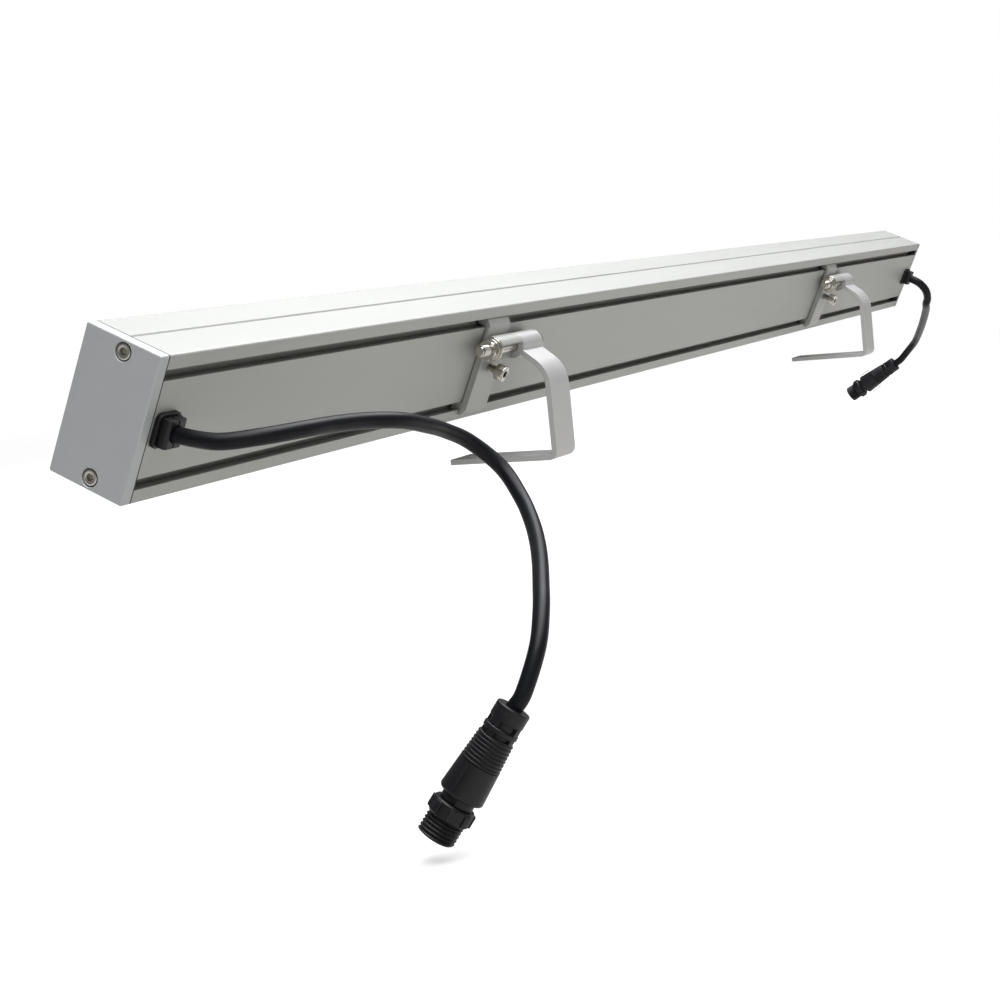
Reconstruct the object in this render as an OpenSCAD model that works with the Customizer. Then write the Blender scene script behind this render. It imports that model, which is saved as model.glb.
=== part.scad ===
// Outdoor wall washer light: a long extruded light held by two tilting brackets.
// The origin is midway between the two foot holes, on the face that lies on the wall.
// X runs along the light, Y points from the bracket legs to the foot tips, Z is up off the wall.

/* [Light body] */
// Length of the light over both end caps
body_length = 1000; // [900:10:1200]
// Depth of the light from its back face to its front edge
body_depth = 30; // [29:0.5:36]
// Height of the light from its bottom face to its top face
body_height = 52; // [50:1:62]
// Angle that the light leans back about its long axis
lean_angle = 26.3; // [10:0.1:40]
// Thickness of the top and bottom walls
side_wall = 2; // [1.6:0.1:2.4]
// Thickness of the back wall
back_wall = 2.2; // [1.8:0.1:2.8]
// Rounding of the four long edges
edge_radius = 0.8; // [0.4:0.1:1.2]
// Distance from the back face to the inner web
web_place = 12; // [11.5:0.1:12.5]
// Thickness of the inner web that carries the lamp board
web_thickness = 2.5; // [2:0.1:3]
// Thickness of the ledge under the front glass
ledge_thickness = 1.6; // [1.2:0.1:2]
// Reach of the ledge inwards from the wall
ledge_reach = 2; // [1.5:0.1:2.5]

/* [Back slots] */
// Distance of each back slot from the bottom or top face
slot_inset = 7; // [6.5:0.1:8]
// Width of the slot mouth
slot_mouth = 3.9; // [3.6:0.1:4.4]
// Thickness of the lips beside the mouth
slot_lip = 1.6; // [1.2:0.1:1.8]
// Width of the slot behind its lips
slot_width = 6.8; // [6.4:0.1:7.4]
// Depth of the slot from the back face to its floor
slot_depth = 5.2; // [5:0.1:6]
// Wall round the slot
slot_wall = 1.4; // [1:0.1:1.6]
// Distance of the fine groove in the top face from the back
top_groove_place = 16; // [15:0.5:18]
// Width of the fine groove
top_groove_width = 1.4; // [1:0.1:2]
// Depth of the fine groove
top_groove_depth = 0.6; // [0.3:0.1:0.9]

/* [End caps] */
// Thickness of each end cap
cap_thickness = 4.4; // [4:0.1:6]
// Thickness of the gasket behind each end cap
gasket_thickness = 0.6; // [0.4:0.1:1]
// Rounding of the outer edge of the end caps
cap_rounding = 1; // [0.5:0.1:1.2]
// Distance of the cap screws from the back face
cap_screw_place = 14.2; // [13.8:0.1:14.6]
// Distance of the cap screws from the top and bottom faces
cap_screw_inset = 4.15; // [4:0.05:4.4]
// Diameter of the counterbore round each cap screw
counterbore_diameter = 6.3; // [6:0.1:6.6]
// Depth of the counterbore
counterbore_depth = 3.2; // [3.1:0.1:3.4]
// Thread diameter of the cap screws
cap_screw_diameter = 3; // [2.5:0.1:3]
// Length of the cap screws under the head
cap_screw_length = 12; // [8:1:20]

/* [Front and lamps] */
// Thickness of the front glass
glass_thickness = 4; // [3:0.5:4.4]
// Thickness of the sealing strip under the glass
seal_thickness = 0.5; // [0.3:0.1:0.8]
// Width of the sealing bead round the glass
seal_bead = 0.4; // [0.3:0.1:0.8]
// Thickness of the lamp board
board_thickness = 1.6; // [1.2:0.1:2]
// Distance of the lamp board's edges from the bottom and top faces
board_inset = 8; // [7.8:0.1:9]
// Distance between lamps
lamp_pitch = 40; // [32:1:60]
// Distance from the end of the light to the first lamp at least
lamp_margin = 38; // [30:1:60]
// Diameter of each lens
lens_diameter = 14; // [12:0.5:15]
// Height of each lens
lens_height = 8.4; // [7:0.1:8.6]
// Side of each square light emitter
chip_side = 3.5; // [2:0.1:3.6]
// Height of each light emitter
chip_height = 0.8; // [0.5:0.1:1.2]

/* [Cable glands and cords] */
// Distance of each cable gland from the end of the light
gland_place = 12; // [12:0.5:20]
// Width of the gland flange along the light
flange_width = 12.5; // [12:0.1:14]
// Height of the gland flange
flange_height = 12; // [11:0.1:14]
// Thickness of the gland flange
flange_thickness = 1.8; // [1.4:0.1:2.4]
// Corner rounding of the gland flange
flange_radius = 2.5; // [1.5:0.1:3.5]
// Width of the clamping block along the light
block_width = 9.5; // [9:0.1:11]
// Height of the clamping block
block_height = 10; // [9:0.1:11]
// Depth of the clamping block over the flange
block_depth = 3.5; // [3:0.1:6]
// Diameter of the hole in the housing under the gland
gland_hole = 8; // [7:0.1:9]
// Diameter of the round cord
cord_diameter = 5.8; // [4:0.1:6.4]

/* [Cord plugs] */
// Diameter of the collar that the cord enters
collar_diameter = 11.8; // [11:0.1:13]
// Length of the collar
collar_length = 5; // [4:0.1:6]
// Diameter of the waist inside the windows
waist_diameter = 9.6; // [8:0.1:10]
// Length of the windows between collar and hoop
window_length = 2.3; // [2:0.1:4]
// Diameter of the hoop after the windows
hoop_diameter = 12.1; // [11:0.1:13]
// Length of the hoop
hoop_length = 1.9; // [1.5:0.1:3]
// Distance from the hoop to the first rib
hoop_gap = 1.3; // [1:0.1:2.4]
// Number of ribs on the grip
rib_count = 8; // [6:1:10]
// Distance between ribs
rib_pitch = 1.3; // [1.2:0.1:1.8]
// Depth of the grooves between ribs
rib_depth = 0.5; // [0.3:0.1:0.7]
// Diameter over the first rib
rib_start_diameter = 12.6; // [12.2:0.1:13.4]
// Diameter over the last rib
rib_end_diameter = 14; // [13.5:0.1:14.5]
// Length of the smooth part of the plug
smooth_length = 12.2; // [10:0.1:18]
// Largest diameter of the smooth part
smooth_diameter = 15.5; // [14.6:0.1:16]
// Length of the gap between the smooth part and the coupling ring
ring_gap = 2.7; // [1.9:0.1:3.4]
// Diameter of the neck in that gap
neck_diameter = 11.5; // [11:0.1:12]
// Length of the gripped part of the coupling ring
grip_length = 5.4; // [5:0.1:8]
// Diameter of the coupling ring between its bars
grip_diameter = 15; // [14.4:0.1:15.4]
// Diameter of the coupling ring over its bars
bar_diameter = 16; // [15.6:0.1:17]
// Number of bars on the coupling ring
bar_count = 8; // [6:1:10]
// Diameter of the threaded part of the coupling ring
thread_diameter = 13; // [12.6:0.1:14]
// Length of the threaded part
thread_length = 7.5; // [7:0.1:10]
// Diameter of the contact insert inside the coupling ring
insert_diameter = 9.4; // [9:0.1:9.6]

/* [Clamps] */
// Distance of the first clamp from the end of the light
clamp_place = 236; // [200:1:260]
// Distance between the two clamps
clamp_spacing = 512; // [400:1:540]
// Width of each clamp along the light
clamp_width = 20; // [16:0.5:24]
// Thickness of the clamp plate
plate_thickness = 2.9; // [2.4:0.1:3.4]
// Thickness of the clamp plate above the barrel
plate_upper_thickness = 1.7; // [1.4:0.1:2.2]
// Distance of the pivot axis behind the back face of the light
pivot_offset = 5.9; // [5.9:0.1:8]
// Distance of the pivot axis above the mid height of the light
pivot_rise = 9.4; // [6:0.1:10]
// Diameter of the clamp barrel and of the bracket knuckle
barrel_diameter = 11; // [9:0.1:11]
// Thread diameter of the pivot bolt
pivot_diameter = 5; // [4:0.1:5.2]
// Length of bolt that shows past the nut
pivot_tip_length = 6.4; // [4:0.1:12]
// Diameter of the pivot bolt head
pivot_head_diameter = 10.5; // [9:0.1:10.8]
// Height of the pivot bolt head
pivot_head_height = 2.8; // [2:0.1:4]
// Width across flats of the pivot nut
nut_width = 8; // [7:0.5:8]
// Height of the pivot nut
nut_height = 3.2; // [2.7:0.1:4]
// Diameter of the flat pivot washer
washer_diameter = 10.5; // [9:0.1:10.6]
// Thickness of the flat washer
washer_thickness = 1; // [0.8:0.1:1.4]
// Thickness of the spring washer
spring_thickness = 1.2; // [1:0.1:1.6]
// Thread diameter of the clamp screw
clamp_screw_diameter = 4; // [3:0.1:4.5]
// Head diameter of the clamp screw
clamp_head_diameter = 7; // [6.6:0.1:8]
// Head height of the clamp screw
clamp_head_height = 4; // [3:0.1:5]
// Length of the clamp screw between plate and head
clamp_screw_stand = 4; // [2:0.1:6]

/* [Brackets] */
// Width of each bracket along the light
bracket_width = 20; // [16:0.5:24]
// Thickness of the bracket strip
strip_thickness = 2.5; // [2:0.1:3]
// Height of the pivot axis over the wall
pivot_height = 50.7; // [50:0.1:60]
// Distance of the pivot axis behind the foot holes
foot_hole_reach = 30.4; // [26:0.1:36]
// Distance of the leg's outer face behind the pivot axis
leg_reach = 16.1; // [15:0.1:20]
// Distance from the foot hole to the foot tip
foot_tip_reach = 5.7; // [5:0.1:8]
// Outer radius of the heel
heel_radius = 4; // [3.2:0.1:6]
// Outer radius of the bend at the top of the leg
bend_radius = 15.5; // [12:0.5:18]
// Rise of the arm over the wall plane
arm_rise = 39; // [36:1:42]
// Diameter of each foot hole
foot_hole_diameter = 5.5; // [4:0.1:6.5]

/* [Hidden] */

// Overrun of every cut past the face it opens
overrun = 1;
// Gap between pieces that slide past each other
slide_gap = 0.3;
// Radial play of the pivot bolt in the bracket, and of the coupling ring on its insert
running_play = 0.07;
// Radial play of a screw in its threaded hole
thread_play = 0.05;
// Radial play of a screw in a clearance hole
screw_play = 0.25;
// Radial play of a cord in a hole that holds it
cord_play = 0.1;
round_facets = 48;
fine_facets = 32;

mid_height = body_height / 2;
slot_heights = [slot_inset, body_height - slot_inset];
cap_stack = cap_thickness + gasket_thickness;
extrusion_length = body_length - 2 * cap_stack;
web_front = web_place + web_thickness;
glass_inset = 0.5;
glass_front = body_depth - glass_inset;
ledge_front = glass_front - glass_thickness - seal_thickness;
chamber_height = body_height - 2 * side_wall;
port_radius = 3.1;
port_places = [[cap_screw_place, cap_screw_inset], [cap_screw_place, body_height - cap_screw_inset]];
cap_head_diameter = 5.5;
cap_head_height = 3;
cap_socket_width = 2.5;
cap_socket_depth = 1.6;

lamp_count = floor((body_length - 2 * lamp_margin) / lamp_pitch) + 1;
lamp_start = (body_length - (lamp_count - 1) * lamp_pitch) / 2;
board_margin = 1;
board_width = body_height - 2 * board_inset;
board_front = web_front + board_thickness;
board_screw_diameter = 3;
board_screw_head = 5.6;
board_screw_head_height = 1.8;
board_screw_length = 5;
// Number of lamps from one board screw to the next, and the number before the first screw
screw_lamp_count = 4;
board_screw_count = floor((lamp_count - 1) / screw_lamp_count);
first_lamp_count = 1 + floor((lamp_count - 2 - (board_screw_count - 1) * screw_lamp_count) / 2);
board_screw_pitch = screw_lamp_count * lamp_pitch;
board_screw_start = lamp_start + (first_lamp_count - 1 / 2) * lamp_pitch;

terminal_place = 22;
terminal_size = [24, 6.5, 12];
wire_diameter = 1.6;
wire_pitch = 3.2;
wire_count = 3;

// Distance from the light's end to the middle of the first bracket
bracket_middle = clamp_place + clamp_width + slide_gap + bracket_width / 2;
origin_place = bracket_middle + clamp_spacing / 2;
pivot_z = mid_height + pivot_rise;

gland_exit = [gland_place, -flange_thickness - block_depth, mid_height];

// Routes of the cords from the gland's face, in millimetres, as they lie in the photograph
near_route = [[-0.1, -6.9, 0.5], [0.6, -13.3, 3.1], [2.8, -19.1, 6.1], [9.5, -26.1, 9.7],
              [25.4, -31.9, 12.6], [45.7, -35.9, 14], [65.1, -43.3, 15.2], [81.9, -46.2, 12.4],
              [98.5, -48.2, 8], [107.5, -52.6, 5.5], [112.7, -60.5, 1.7], [110.7, -72.8, -3.6],
              [97.7, -88.2, -8], [77.8, -101.8, -10.8], [57.1, -113.9, -13.9], [42.9, -122.4, -18.8],
              [32.9, -127.9, -26.9]];
far_route = [[1.3, -7.6, -1], [4.4, -13.4, -4.6], [9.4, -16.1, -10.3], [15.1, -15.7, -15.9],
             [24.6, -15.6, -22.8], [42.4, -12.9, -30.6], [73.1, -6.9, -34.4], [111.7, 1.1, -36],
             [145.2, 6.9, -45.5], [163.9, 10.9, -59.3], [172.8, 13.6, -72], [176.2, 16.4, -82.9]];
// Where each cord enters its plug, from the gland's face, and how the plug points
near_plug_place = [26, -129.3, -42.4];
near_plug_turn = [0, 162.3, 156.3];
far_plug_place = [177, 21.5, -97.5];
far_plug_turn = [0, 147, 88];
cord_sides = 10;
cord_steps = 2;
cord_seat = 3;
cord_lead = 6;

hoop_start = collar_length + window_length;
rib_start = hoop_start + hoop_length + hoop_gap;
smooth_start = rib_start + rib_count * rib_pitch;
neck_start = smooth_start + smooth_length;
ring_start = neck_start + ring_gap;
thread_start = ring_start + grip_length;
ring_end = thread_start + thread_length;
smooth_rounding = 1.2;
window_bar_width = 3.6;
window_bar_count = 4;
window_turn = 24;
bar_width = 2.6;
bar_margin = 0.7;
snap_diameter = 10.6;
snap_length = 1.2;
snap_inset = 2.6;
insert_inset = 1.2;
well_diameter = 7.2;
well_depth = 8;
pin_diameter = 1;
pin_circle = 3.8;
pin_count = 4;
pin_length = 6.5;
plug_seal_thickness = 0.8;
plug_seal_wall = 0.9;

clamp_tip_drop = 2.15;
clamp_chamfer_height = 3;
clamp_chamfer_depth = 1.7;
clamp_crease_drop = 2.3;
hook_depth = 4;
hook_reach = 1.4;
barrel_opening = [-75, -40, 0, 39.5];
pivot_socket_width = 3;
pivot_socket_depth = 1.6;
pivot_tip_chamfer = 0.7;
clamp_socket_width = 3;
clamp_socket_depth = 2;
clamp_screw_drop = 1;
spring_split = 1.2;

arm_turn = 90 - arm_rise;
bend_middle = bend_radius - strip_thickness / 2;
bend_centre = [-leg_reach + bend_radius,
               -(bend_middle + sin(arm_rise) * (leg_reach - bend_radius)) / cos(arm_rise)];

aluminium = [0.62, 0.63, 0.62];
cap_grey = [0.6, 0.61, 0.62];
steel = [0.78, 0.78, 0.77];
black = [0.12, 0.12, 0.13];
cord_black = [0.09, 0.1, 0.12];

// Turns the light's own frame (back face at Y 0, bottom at Z 0, one end at X 0) to where it hangs
module in_light()
    translate([0, -foot_hole_reach, pivot_height])
        rotate([lean_angle, 0, 0])
            translate([-origin_place, pivot_offset, -pivot_z])
                children();

// The far end mirrors the near end of the light
module at_far_end() translate([body_length, 0, 0]) mirror([1, 0, 0]) children();

// Extrudes a section drawn in Y and Z along X
module along_x(length) rotate([90, 0, 90]) linear_extrude(length) children();

// Stands a shape that was drawn along Z on the X axis or on the minus Y axis
module facing_x() rotate([0, 90, 0]) children();
module facing_back() rotate([90, 0, 0]) children();

// Flat rectangle with round corners
module rounded_rectangle(size, radius) {
    translate([radius, 0]) square([size.x - 2 * radius, size.y]);
    translate([0, radius]) square([size.x, size.y - 2 * radius]);
    for (x = [radius, size.x - radius], y = [radius, size.y - radius])
        translate([x, y]) circle(radius, $fn = round_facets);
}

module hexagon(across, length) cylinder(h = length, r = across / sqrt(3), $fn = 6);

// Housing: one extruded section with two back slots, a web, screw ports and a glass pocket

module section_outline() rounded_rectangle([body_depth, body_height], edge_radius);

module screw_ports(radius) for (place = port_places) translate(place) circle(radius, $fn = round_facets);

module slot_blocks() {
    reach = slot_heights[0] + slot_width / 2 + slot_wall;
    square([slot_depth + slot_wall, reach]);
    translate([0, body_height - reach]) square([slot_depth + slot_wall, reach]);
}

module slot_cuts()
    for (height = slot_heights) {
        translate([-overrun, height - slot_mouth / 2]) square([slot_lip + 2 * overrun, slot_mouth]);
        translate([slot_lip, height - slot_width / 2]) square([slot_depth - slot_lip, slot_width]);
    }

module chambers() {
    difference() {
        union() {
            translate([back_wall, side_wall]) square([web_place - back_wall, chamber_height]);
            translate([web_front, side_wall])
                square([ledge_front - ledge_thickness - web_front, chamber_height]);
        }
        slot_blocks();
        screw_ports(port_radius);
    }
    translate([ledge_front - ledge_thickness - overrun, side_wall + ledge_reach])
        square([ledge_thickness + 2 * overrun, chamber_height - 2 * ledge_reach]);
    translate([ledge_front, side_wall])
        square([body_depth - ledge_front + overrun, chamber_height]);
}

module housing_section()
    difference() {
        section_outline();
        chambers();
        slot_cuts();
        screw_ports(cap_screw_diameter / 2 + thread_play);
        translate([top_groove_place, body_height])
            polygon([[-top_groove_width / 2, overrun], [-top_groove_width / 2, 0],
                     [0, -top_groove_depth], [top_groove_width / 2, 0], [top_groove_width / 2, overrun]]);
    }

module gland_hole_cut()
    translate([gland_place, -overrun, mid_height])
        rotate([-90, 0, 0]) cylinder(h = back_wall + 2 * overrun, d = gland_hole, $fn = round_facets);

module board_screw_places()
    for (i = [0 : board_screw_count - 1])
        translate([board_screw_start + i * board_screw_pitch, web_front, mid_height]) children();

module housing() in_light() color(aluminium)
    difference() {
        translate([cap_stack, 0, 0]) along_x(extrusion_length) housing_section();
        gland_hole_cut();
        at_far_end() gland_hole_cut();
        board_screw_places()
            translate([0, overrun, 0]) facing_back()
                cylinder(h = web_thickness + 2 * overrun, d = board_screw_diameter + 2 * thread_play,
                         $fn = fine_facets);
    }

// End caps with a rounded outer edge and two counterbored screws

module cap_layer(inset, place)
    translate([place, inset, inset])
        along_x(cap_rounding / 10)
            rounded_rectangle([body_depth - 2 * inset, body_height - 2 * inset],
                              max(edge_radius - inset, edge_radius / 4));

module end_cap()
    difference() {
        union() {
            hull()
                for (angle = [0, 30, 60, 90])
                    cap_layer(cap_rounding * (1 - sin(angle)), cap_rounding * (1 - cos(angle)));
            translate([cap_rounding, 0, 0]) along_x(cap_thickness - cap_rounding) section_outline();
        }
        for (place = port_places)
            translate([0, place.x, place.y]) facing_x() {
                translate([0, 0, -overrun])
                    cylinder(h = counterbore_depth + overrun, d = counterbore_diameter, $fn = round_facets);
                cylinder(h = cap_thickness + overrun, d = cap_screw_diameter + 2 * screw_play,
                         $fn = round_facets);
            }
    }

module gasket()
    translate([cap_thickness, 0, 0])
        along_x(gasket_thickness)
            difference() {
                section_outline();
                translate([back_wall + slide_gap, slot_heights[0] + slot_width / 2 + slot_wall])
                    square([web_place - back_wall - slide_gap,
                            slot_heights[1] - slot_heights[0] - slot_width - 2 * slot_wall]);
                translate([web_front, side_wall + cap_screw_inset + port_radius])
                    square([ledge_front - web_front,
                            chamber_height - 2 * (cap_screw_inset + port_radius)]);
                screw_ports(cap_screw_diameter / 2 + screw_play);
            }

module cap_screws()
    for (place = port_places)
        translate([counterbore_depth, place.x, place.y]) facing_x() {
            translate([0, 0, -cap_head_height])
                difference() {
                    cylinder(h = cap_head_height, d = cap_head_diameter, $fn = round_facets);
                    translate([0, 0, -overrun]) hexagon(cap_socket_width, cap_socket_depth + overrun);
                }
            cylinder(h = cap_screw_length, d = cap_screw_diameter, $fn = round_facets);
        }

module near_end_cap() in_light() color(cap_grey) end_cap();
module far_end_cap() in_light() color(cap_grey) at_far_end() end_cap();
module near_cap_gasket() in_light() color(black) gasket();
module far_cap_gasket() in_light() color(black) at_far_end() gasket();
module near_cap_screws() in_light() color(steel) cap_screws();
module far_cap_screws() in_light() color(steel) at_far_end() cap_screws();

// Front glass in its seal, with the lamp board, emitters and lenses behind it

module glass_plate(thickness, inset)
    translate([cap_stack + inset, 0, side_wall + inset])
        cube([extrusion_length - 2 * inset, thickness, chamber_height - 2 * inset]);

module front_glass() in_light() color([0.8, 0.86, 0.88], 0.5)
    translate([0, glass_front - glass_thickness, 0]) glass_plate(glass_thickness, seal_bead);

module glass_seal() in_light() color([0.85, 0.85, 0.85])
    difference() {
        translate([0, ledge_front, 0]) glass_plate(seal_thickness + glass_thickness, 0);
        translate([0, ledge_front + seal_thickness, 0])
            glass_plate(glass_thickness + overrun, seal_bead);
        translate([0, ledge_front - overrun, 0])
            glass_plate(seal_thickness + 2 * overrun, ledge_reach);
    }

module led_board() in_light() color([0.93, 0.93, 0.9])
    difference() {
        translate([cap_stack + board_margin, web_front, mid_height - board_width / 2])
            cube([extrusion_length - 2 * board_margin, board_thickness, board_width]);
        board_screw_places()
            rotate([-90, 0, 0]) translate([0, 0, -overrun])
                cylinder(h = board_thickness + 2 * overrun, d = board_screw_diameter + 2 * screw_play,
                         $fn = fine_facets);
    }

module lamp_places()
    for (i = [0 : lamp_count - 1])
        translate([lamp_start + i * lamp_pitch, board_front, mid_height]) rotate([-90, 0, 0]) children();

module led_chips() in_light() color([0.95, 0.85, 0.4])
    lamp_places()
        translate([-chip_side / 2, -chip_side / 2, 0]) cube([chip_side, chip_side, chip_height]);

// Each lens is a cup that widens to a flat rim, with a well under it for the emitter
module lens() {
    foot_radius = lens_diameter * 0.27;
    rim_radius = lens_diameter / 2;
    well_radius = chip_side * 0.75;
    rotate_extrude($fn = fine_facets)
        polygon([[well_radius, 0], [foot_radius, 0], [rim_radius * 0.86, lens_height * 0.66],
                 [rim_radius, lens_height * 0.8], [rim_radius, lens_height],
                 [rim_radius * 0.5, lens_height], [0, lens_height * 0.86],
                 [0, chip_height * 3], [well_radius, chip_height * 2]]);
}

module lenses() in_light() color([0.9, 0.95, 1], 0.5) lamp_places() lens();

module board_screws() in_light() color(steel)
    board_screw_places() {
        translate([0, board_thickness, 0]) rotate([-90, 0, 0])
            cylinder(h = board_screw_head_height, d = board_screw_head, $fn = fine_facets);
        translate([0, board_thickness, 0]) facing_back()
            cylinder(h = board_screw_length, d = board_screw_diameter, $fn = fine_facets);
    }

// Wiring in the rear chamber: a terminal block at each end and the wires that run through

module terminal()
    translate([terminal_place, web_place - terminal_size.y, mid_height - terminal_size.z / 2])
        cube(terminal_size);

module near_terminal() in_light() color([0.9, 0.9, 0.88]) terminal();
module far_terminal() in_light() color([0.9, 0.9, 0.88]) at_far_end() terminal();

module bus_wires() in_light() color([0.7, 0.15, 0.12])
    for (i = [0 : wire_count - 1])
        translate([terminal_place + terminal_size.x, web_place - terminal_size.y / 2,
                   mid_height + (i - (wire_count - 1) / 2) * wire_pitch])
            facing_x()
                cylinder(h = body_length - 2 * (terminal_place + terminal_size.x), d = wire_diameter,
                         $fn = fine_facets);

// Cable glands: a flange that plugs the hole in the housing, under a block in two halves

module gland_flange()
    translate([gland_place, 0, mid_height]) {
        translate([-flange_width / 2, 0, -flange_height / 2]) facing_back()
            linear_extrude(flange_thickness)
                rounded_rectangle([flange_width, flange_height], flange_radius);
        rotate([-90, 0, 0])
            cylinder(h = back_wall + flange_thickness, d = gland_hole - 2 * cord_play, $fn = round_facets);
    }

module block_outline() {
    chamfer = block_depth / 4;
    polygon([[-block_width / 2, 0], [block_width / 2, 0], [block_width / 2, block_depth - chamfer],
             [block_width / 2 - chamfer, block_depth], [-block_width / 2 + chamfer, block_depth],
             [-block_width / 2, block_depth - chamfer]]);
}

module gland_halves()
    translate([gland_place, -flange_thickness, mid_height])
        difference() {
            translate([0, 0, -block_height / 2]) linear_extrude(block_height)
                mirror([0, 1]) block_outline();
            translate([-slide_gap / 2, -block_depth - overrun, -block_height / 2 - overrun])
                cube([slide_gap, block_depth + 2 * overrun, block_height + 2 * overrun]);
            translate([0, overrun, 0]) facing_back()
                cylinder(h = block_depth + 2 * overrun, d = cord_diameter + 2 * cord_play,
                         $fn = round_facets);
        }

module near_gland_flange() in_light() color(black) gland_flange();
module far_gland_flange() in_light() color(black) at_far_end() gland_flange();
module near_gland_halves() in_light() color(black) gland_halves();
module far_gland_halves() in_light() color(black) at_far_end() gland_halves();

// Cords: a round tube swept along a smooth curve through its route

function unit(v) = v / norm(v);
function turned(v, turn) =
    [sin(turn.y) * cos(turn.z), sin(turn.y) * sin(turn.z), cos(turn.y)] * v;
function curve(a, b, c, d, t) =
    (2 * b + (c - a) * t + (2 * a - 5 * b + 4 * c - d) * t ^ 2 + (3 * b - a - 3 * c + d) * t ^ 3) / 2;
function smooth(points) =
    let (last = len(points) - 1,
         ends = concat([2 * points[0] - points[1]], points, [2 * points[last] - points[last - 1]]))
    [for (i = [0 : last - 1], step = [0 : cord_steps - 1])
        curve(ends[i], ends[i + 1], ends[i + 2], ends[i + 3], step / cord_steps), points[last]];
function directions(path) =
    let (last = len(path) - 1)
    [for (i = [0 : last]) unit(path[min(i + 1, last)] - path[max(i - 1, 0)])];
function level(side, direction) = unit(side - (side * direction) * direction);
function carried(ways) =
    [for (i = 0, side = level([0, 0, 1], ways[0]); i < len(ways);
          i = i + 1, side = i < len(ways) ? level(side, ways[i]) : side) side];

// The whole route: seated in the gland, free, then straight into the plug
function full_route(route, place, turn) =
    let (way = turned(1, turn))
    concat([[0, block_depth - slide_gap, 0], [0, block_depth / 2, 0], [0, 0, 0]], route,
           [place - cord_lead * way, place, place + cord_seat * way]);

module tube(points) {
    path = smooth(points);
    ways = directions(path);
    sides = carried(ways);
    corners = [for (i = [0 : len(path) - 1], k = [0 : cord_sides - 1])
        let (angle = 360 * k / cord_sides)
        path[i] + cord_diameter / 2 * (cos(angle) * sides[i] + sin(angle) * cross(ways[i], sides[i]))];
    last = (len(path) - 1) * cord_sides;
    walls = [for (i = [0 : len(path) - 2], k = [0 : cord_sides - 1])
        let (a = i * cord_sides + k, b = i * cord_sides + (k + 1) % cord_sides)
        each [[a, a + cord_sides, b + cord_sides], [a, b + cord_sides, b]]];
    ends = [[for (k = [0 : cord_sides - 1]) k], [for (k = [cord_sides - 1 : -1 : 0]) last + k]];
    polyhedron(corners, concat(walls, ends), convexity = 6);
}

module from_near_gland() in_light() translate(gland_exit) children();
module from_far_gland() in_light()
    translate([body_length - gland_exit.x, gland_exit.y, gland_exit.z]) children();

module near_cord() from_near_gland() color(cord_black)
    tube(full_route(near_route, near_plug_place, near_plug_turn));
module far_cord() from_far_gland() color(cord_black)
    tube(full_route(far_route, far_plug_place, far_plug_turn));

// Plugs: a moulded grip with ribs, a contact insert, and a threaded ring that turns on it

module plug_body()
    difference() {
        union() {
            rotate_extrude($fn = round_facets) plug_profile();
            intersection() {
                translate([0, 0, collar_length])
                    cylinder(h = rib_start - collar_length, d = collar_diameter - rib_depth,
                             $fn = round_facets);
                for (i = [0 : window_bar_count - 1]) rotate(window_turn + i * 360 / window_bar_count)
                    translate([0, -window_bar_width / 2, collar_length])
                        cube([collar_diameter, window_bar_width, rib_start - collar_length]);
            }
        }
        translate([0, 0, -overrun])
            cylinder(h = cord_seat + overrun, d = cord_diameter + 2 * cord_play, $fn = round_facets);
        translate([0, 0, ring_end - insert_inset - well_depth])
            cylinder(h = well_depth + overrun, d = well_diameter, $fn = round_facets);
    }

module plug_profile() {
    tip = ring_end - insert_inset;
    snap_end = ring_end - snap_inset;
    ribs = [for (i = [0 : rib_count - 1])
        let (start = rib_start + i * rib_pitch,
             radius = (rib_start_diameter + (rib_end_diameter - rib_start_diameter) * i / (rib_count - 1)) / 2)
        each [[radius - rib_depth, start], [radius - rib_depth, start + rib_pitch * 0.3],
              [radius, start + rib_pitch * 0.45], [radius, start + rib_pitch * 0.85],
              [radius - rib_depth, start + rib_pitch]]];
    polygon(concat(
        [[0, 0], [collar_diameter / 2, 0], [collar_diameter / 2, collar_length],
         [waist_diameter / 2, collar_length], [waist_diameter / 2, hoop_start],
         [hoop_diameter / 2, hoop_start], [hoop_diameter / 2, hoop_start + hoop_length],
         [waist_diameter / 2, hoop_start + hoop_length], [waist_diameter / 2, rib_start]],
        ribs,
        [[rib_end_diameter / 2, smooth_start],
         for (angle = [0 : 30 : 90])
            [smooth_diameter / 2 - smooth_rounding * (1 - cos(angle)),
             neck_start - smooth_rounding * (1 - sin(angle))],
         [neck_diameter / 2, neck_start], [neck_diameter / 2, ring_start - slide_gap],
         [insert_diameter / 2, ring_start - slide_gap], [insert_diameter / 2, snap_end - snap_length],
         [snap_diameter / 2, snap_end - snap_length], [insert_diameter / 2, snap_end],
         [insert_diameter / 2, tip], [0, tip]]));
}

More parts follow.
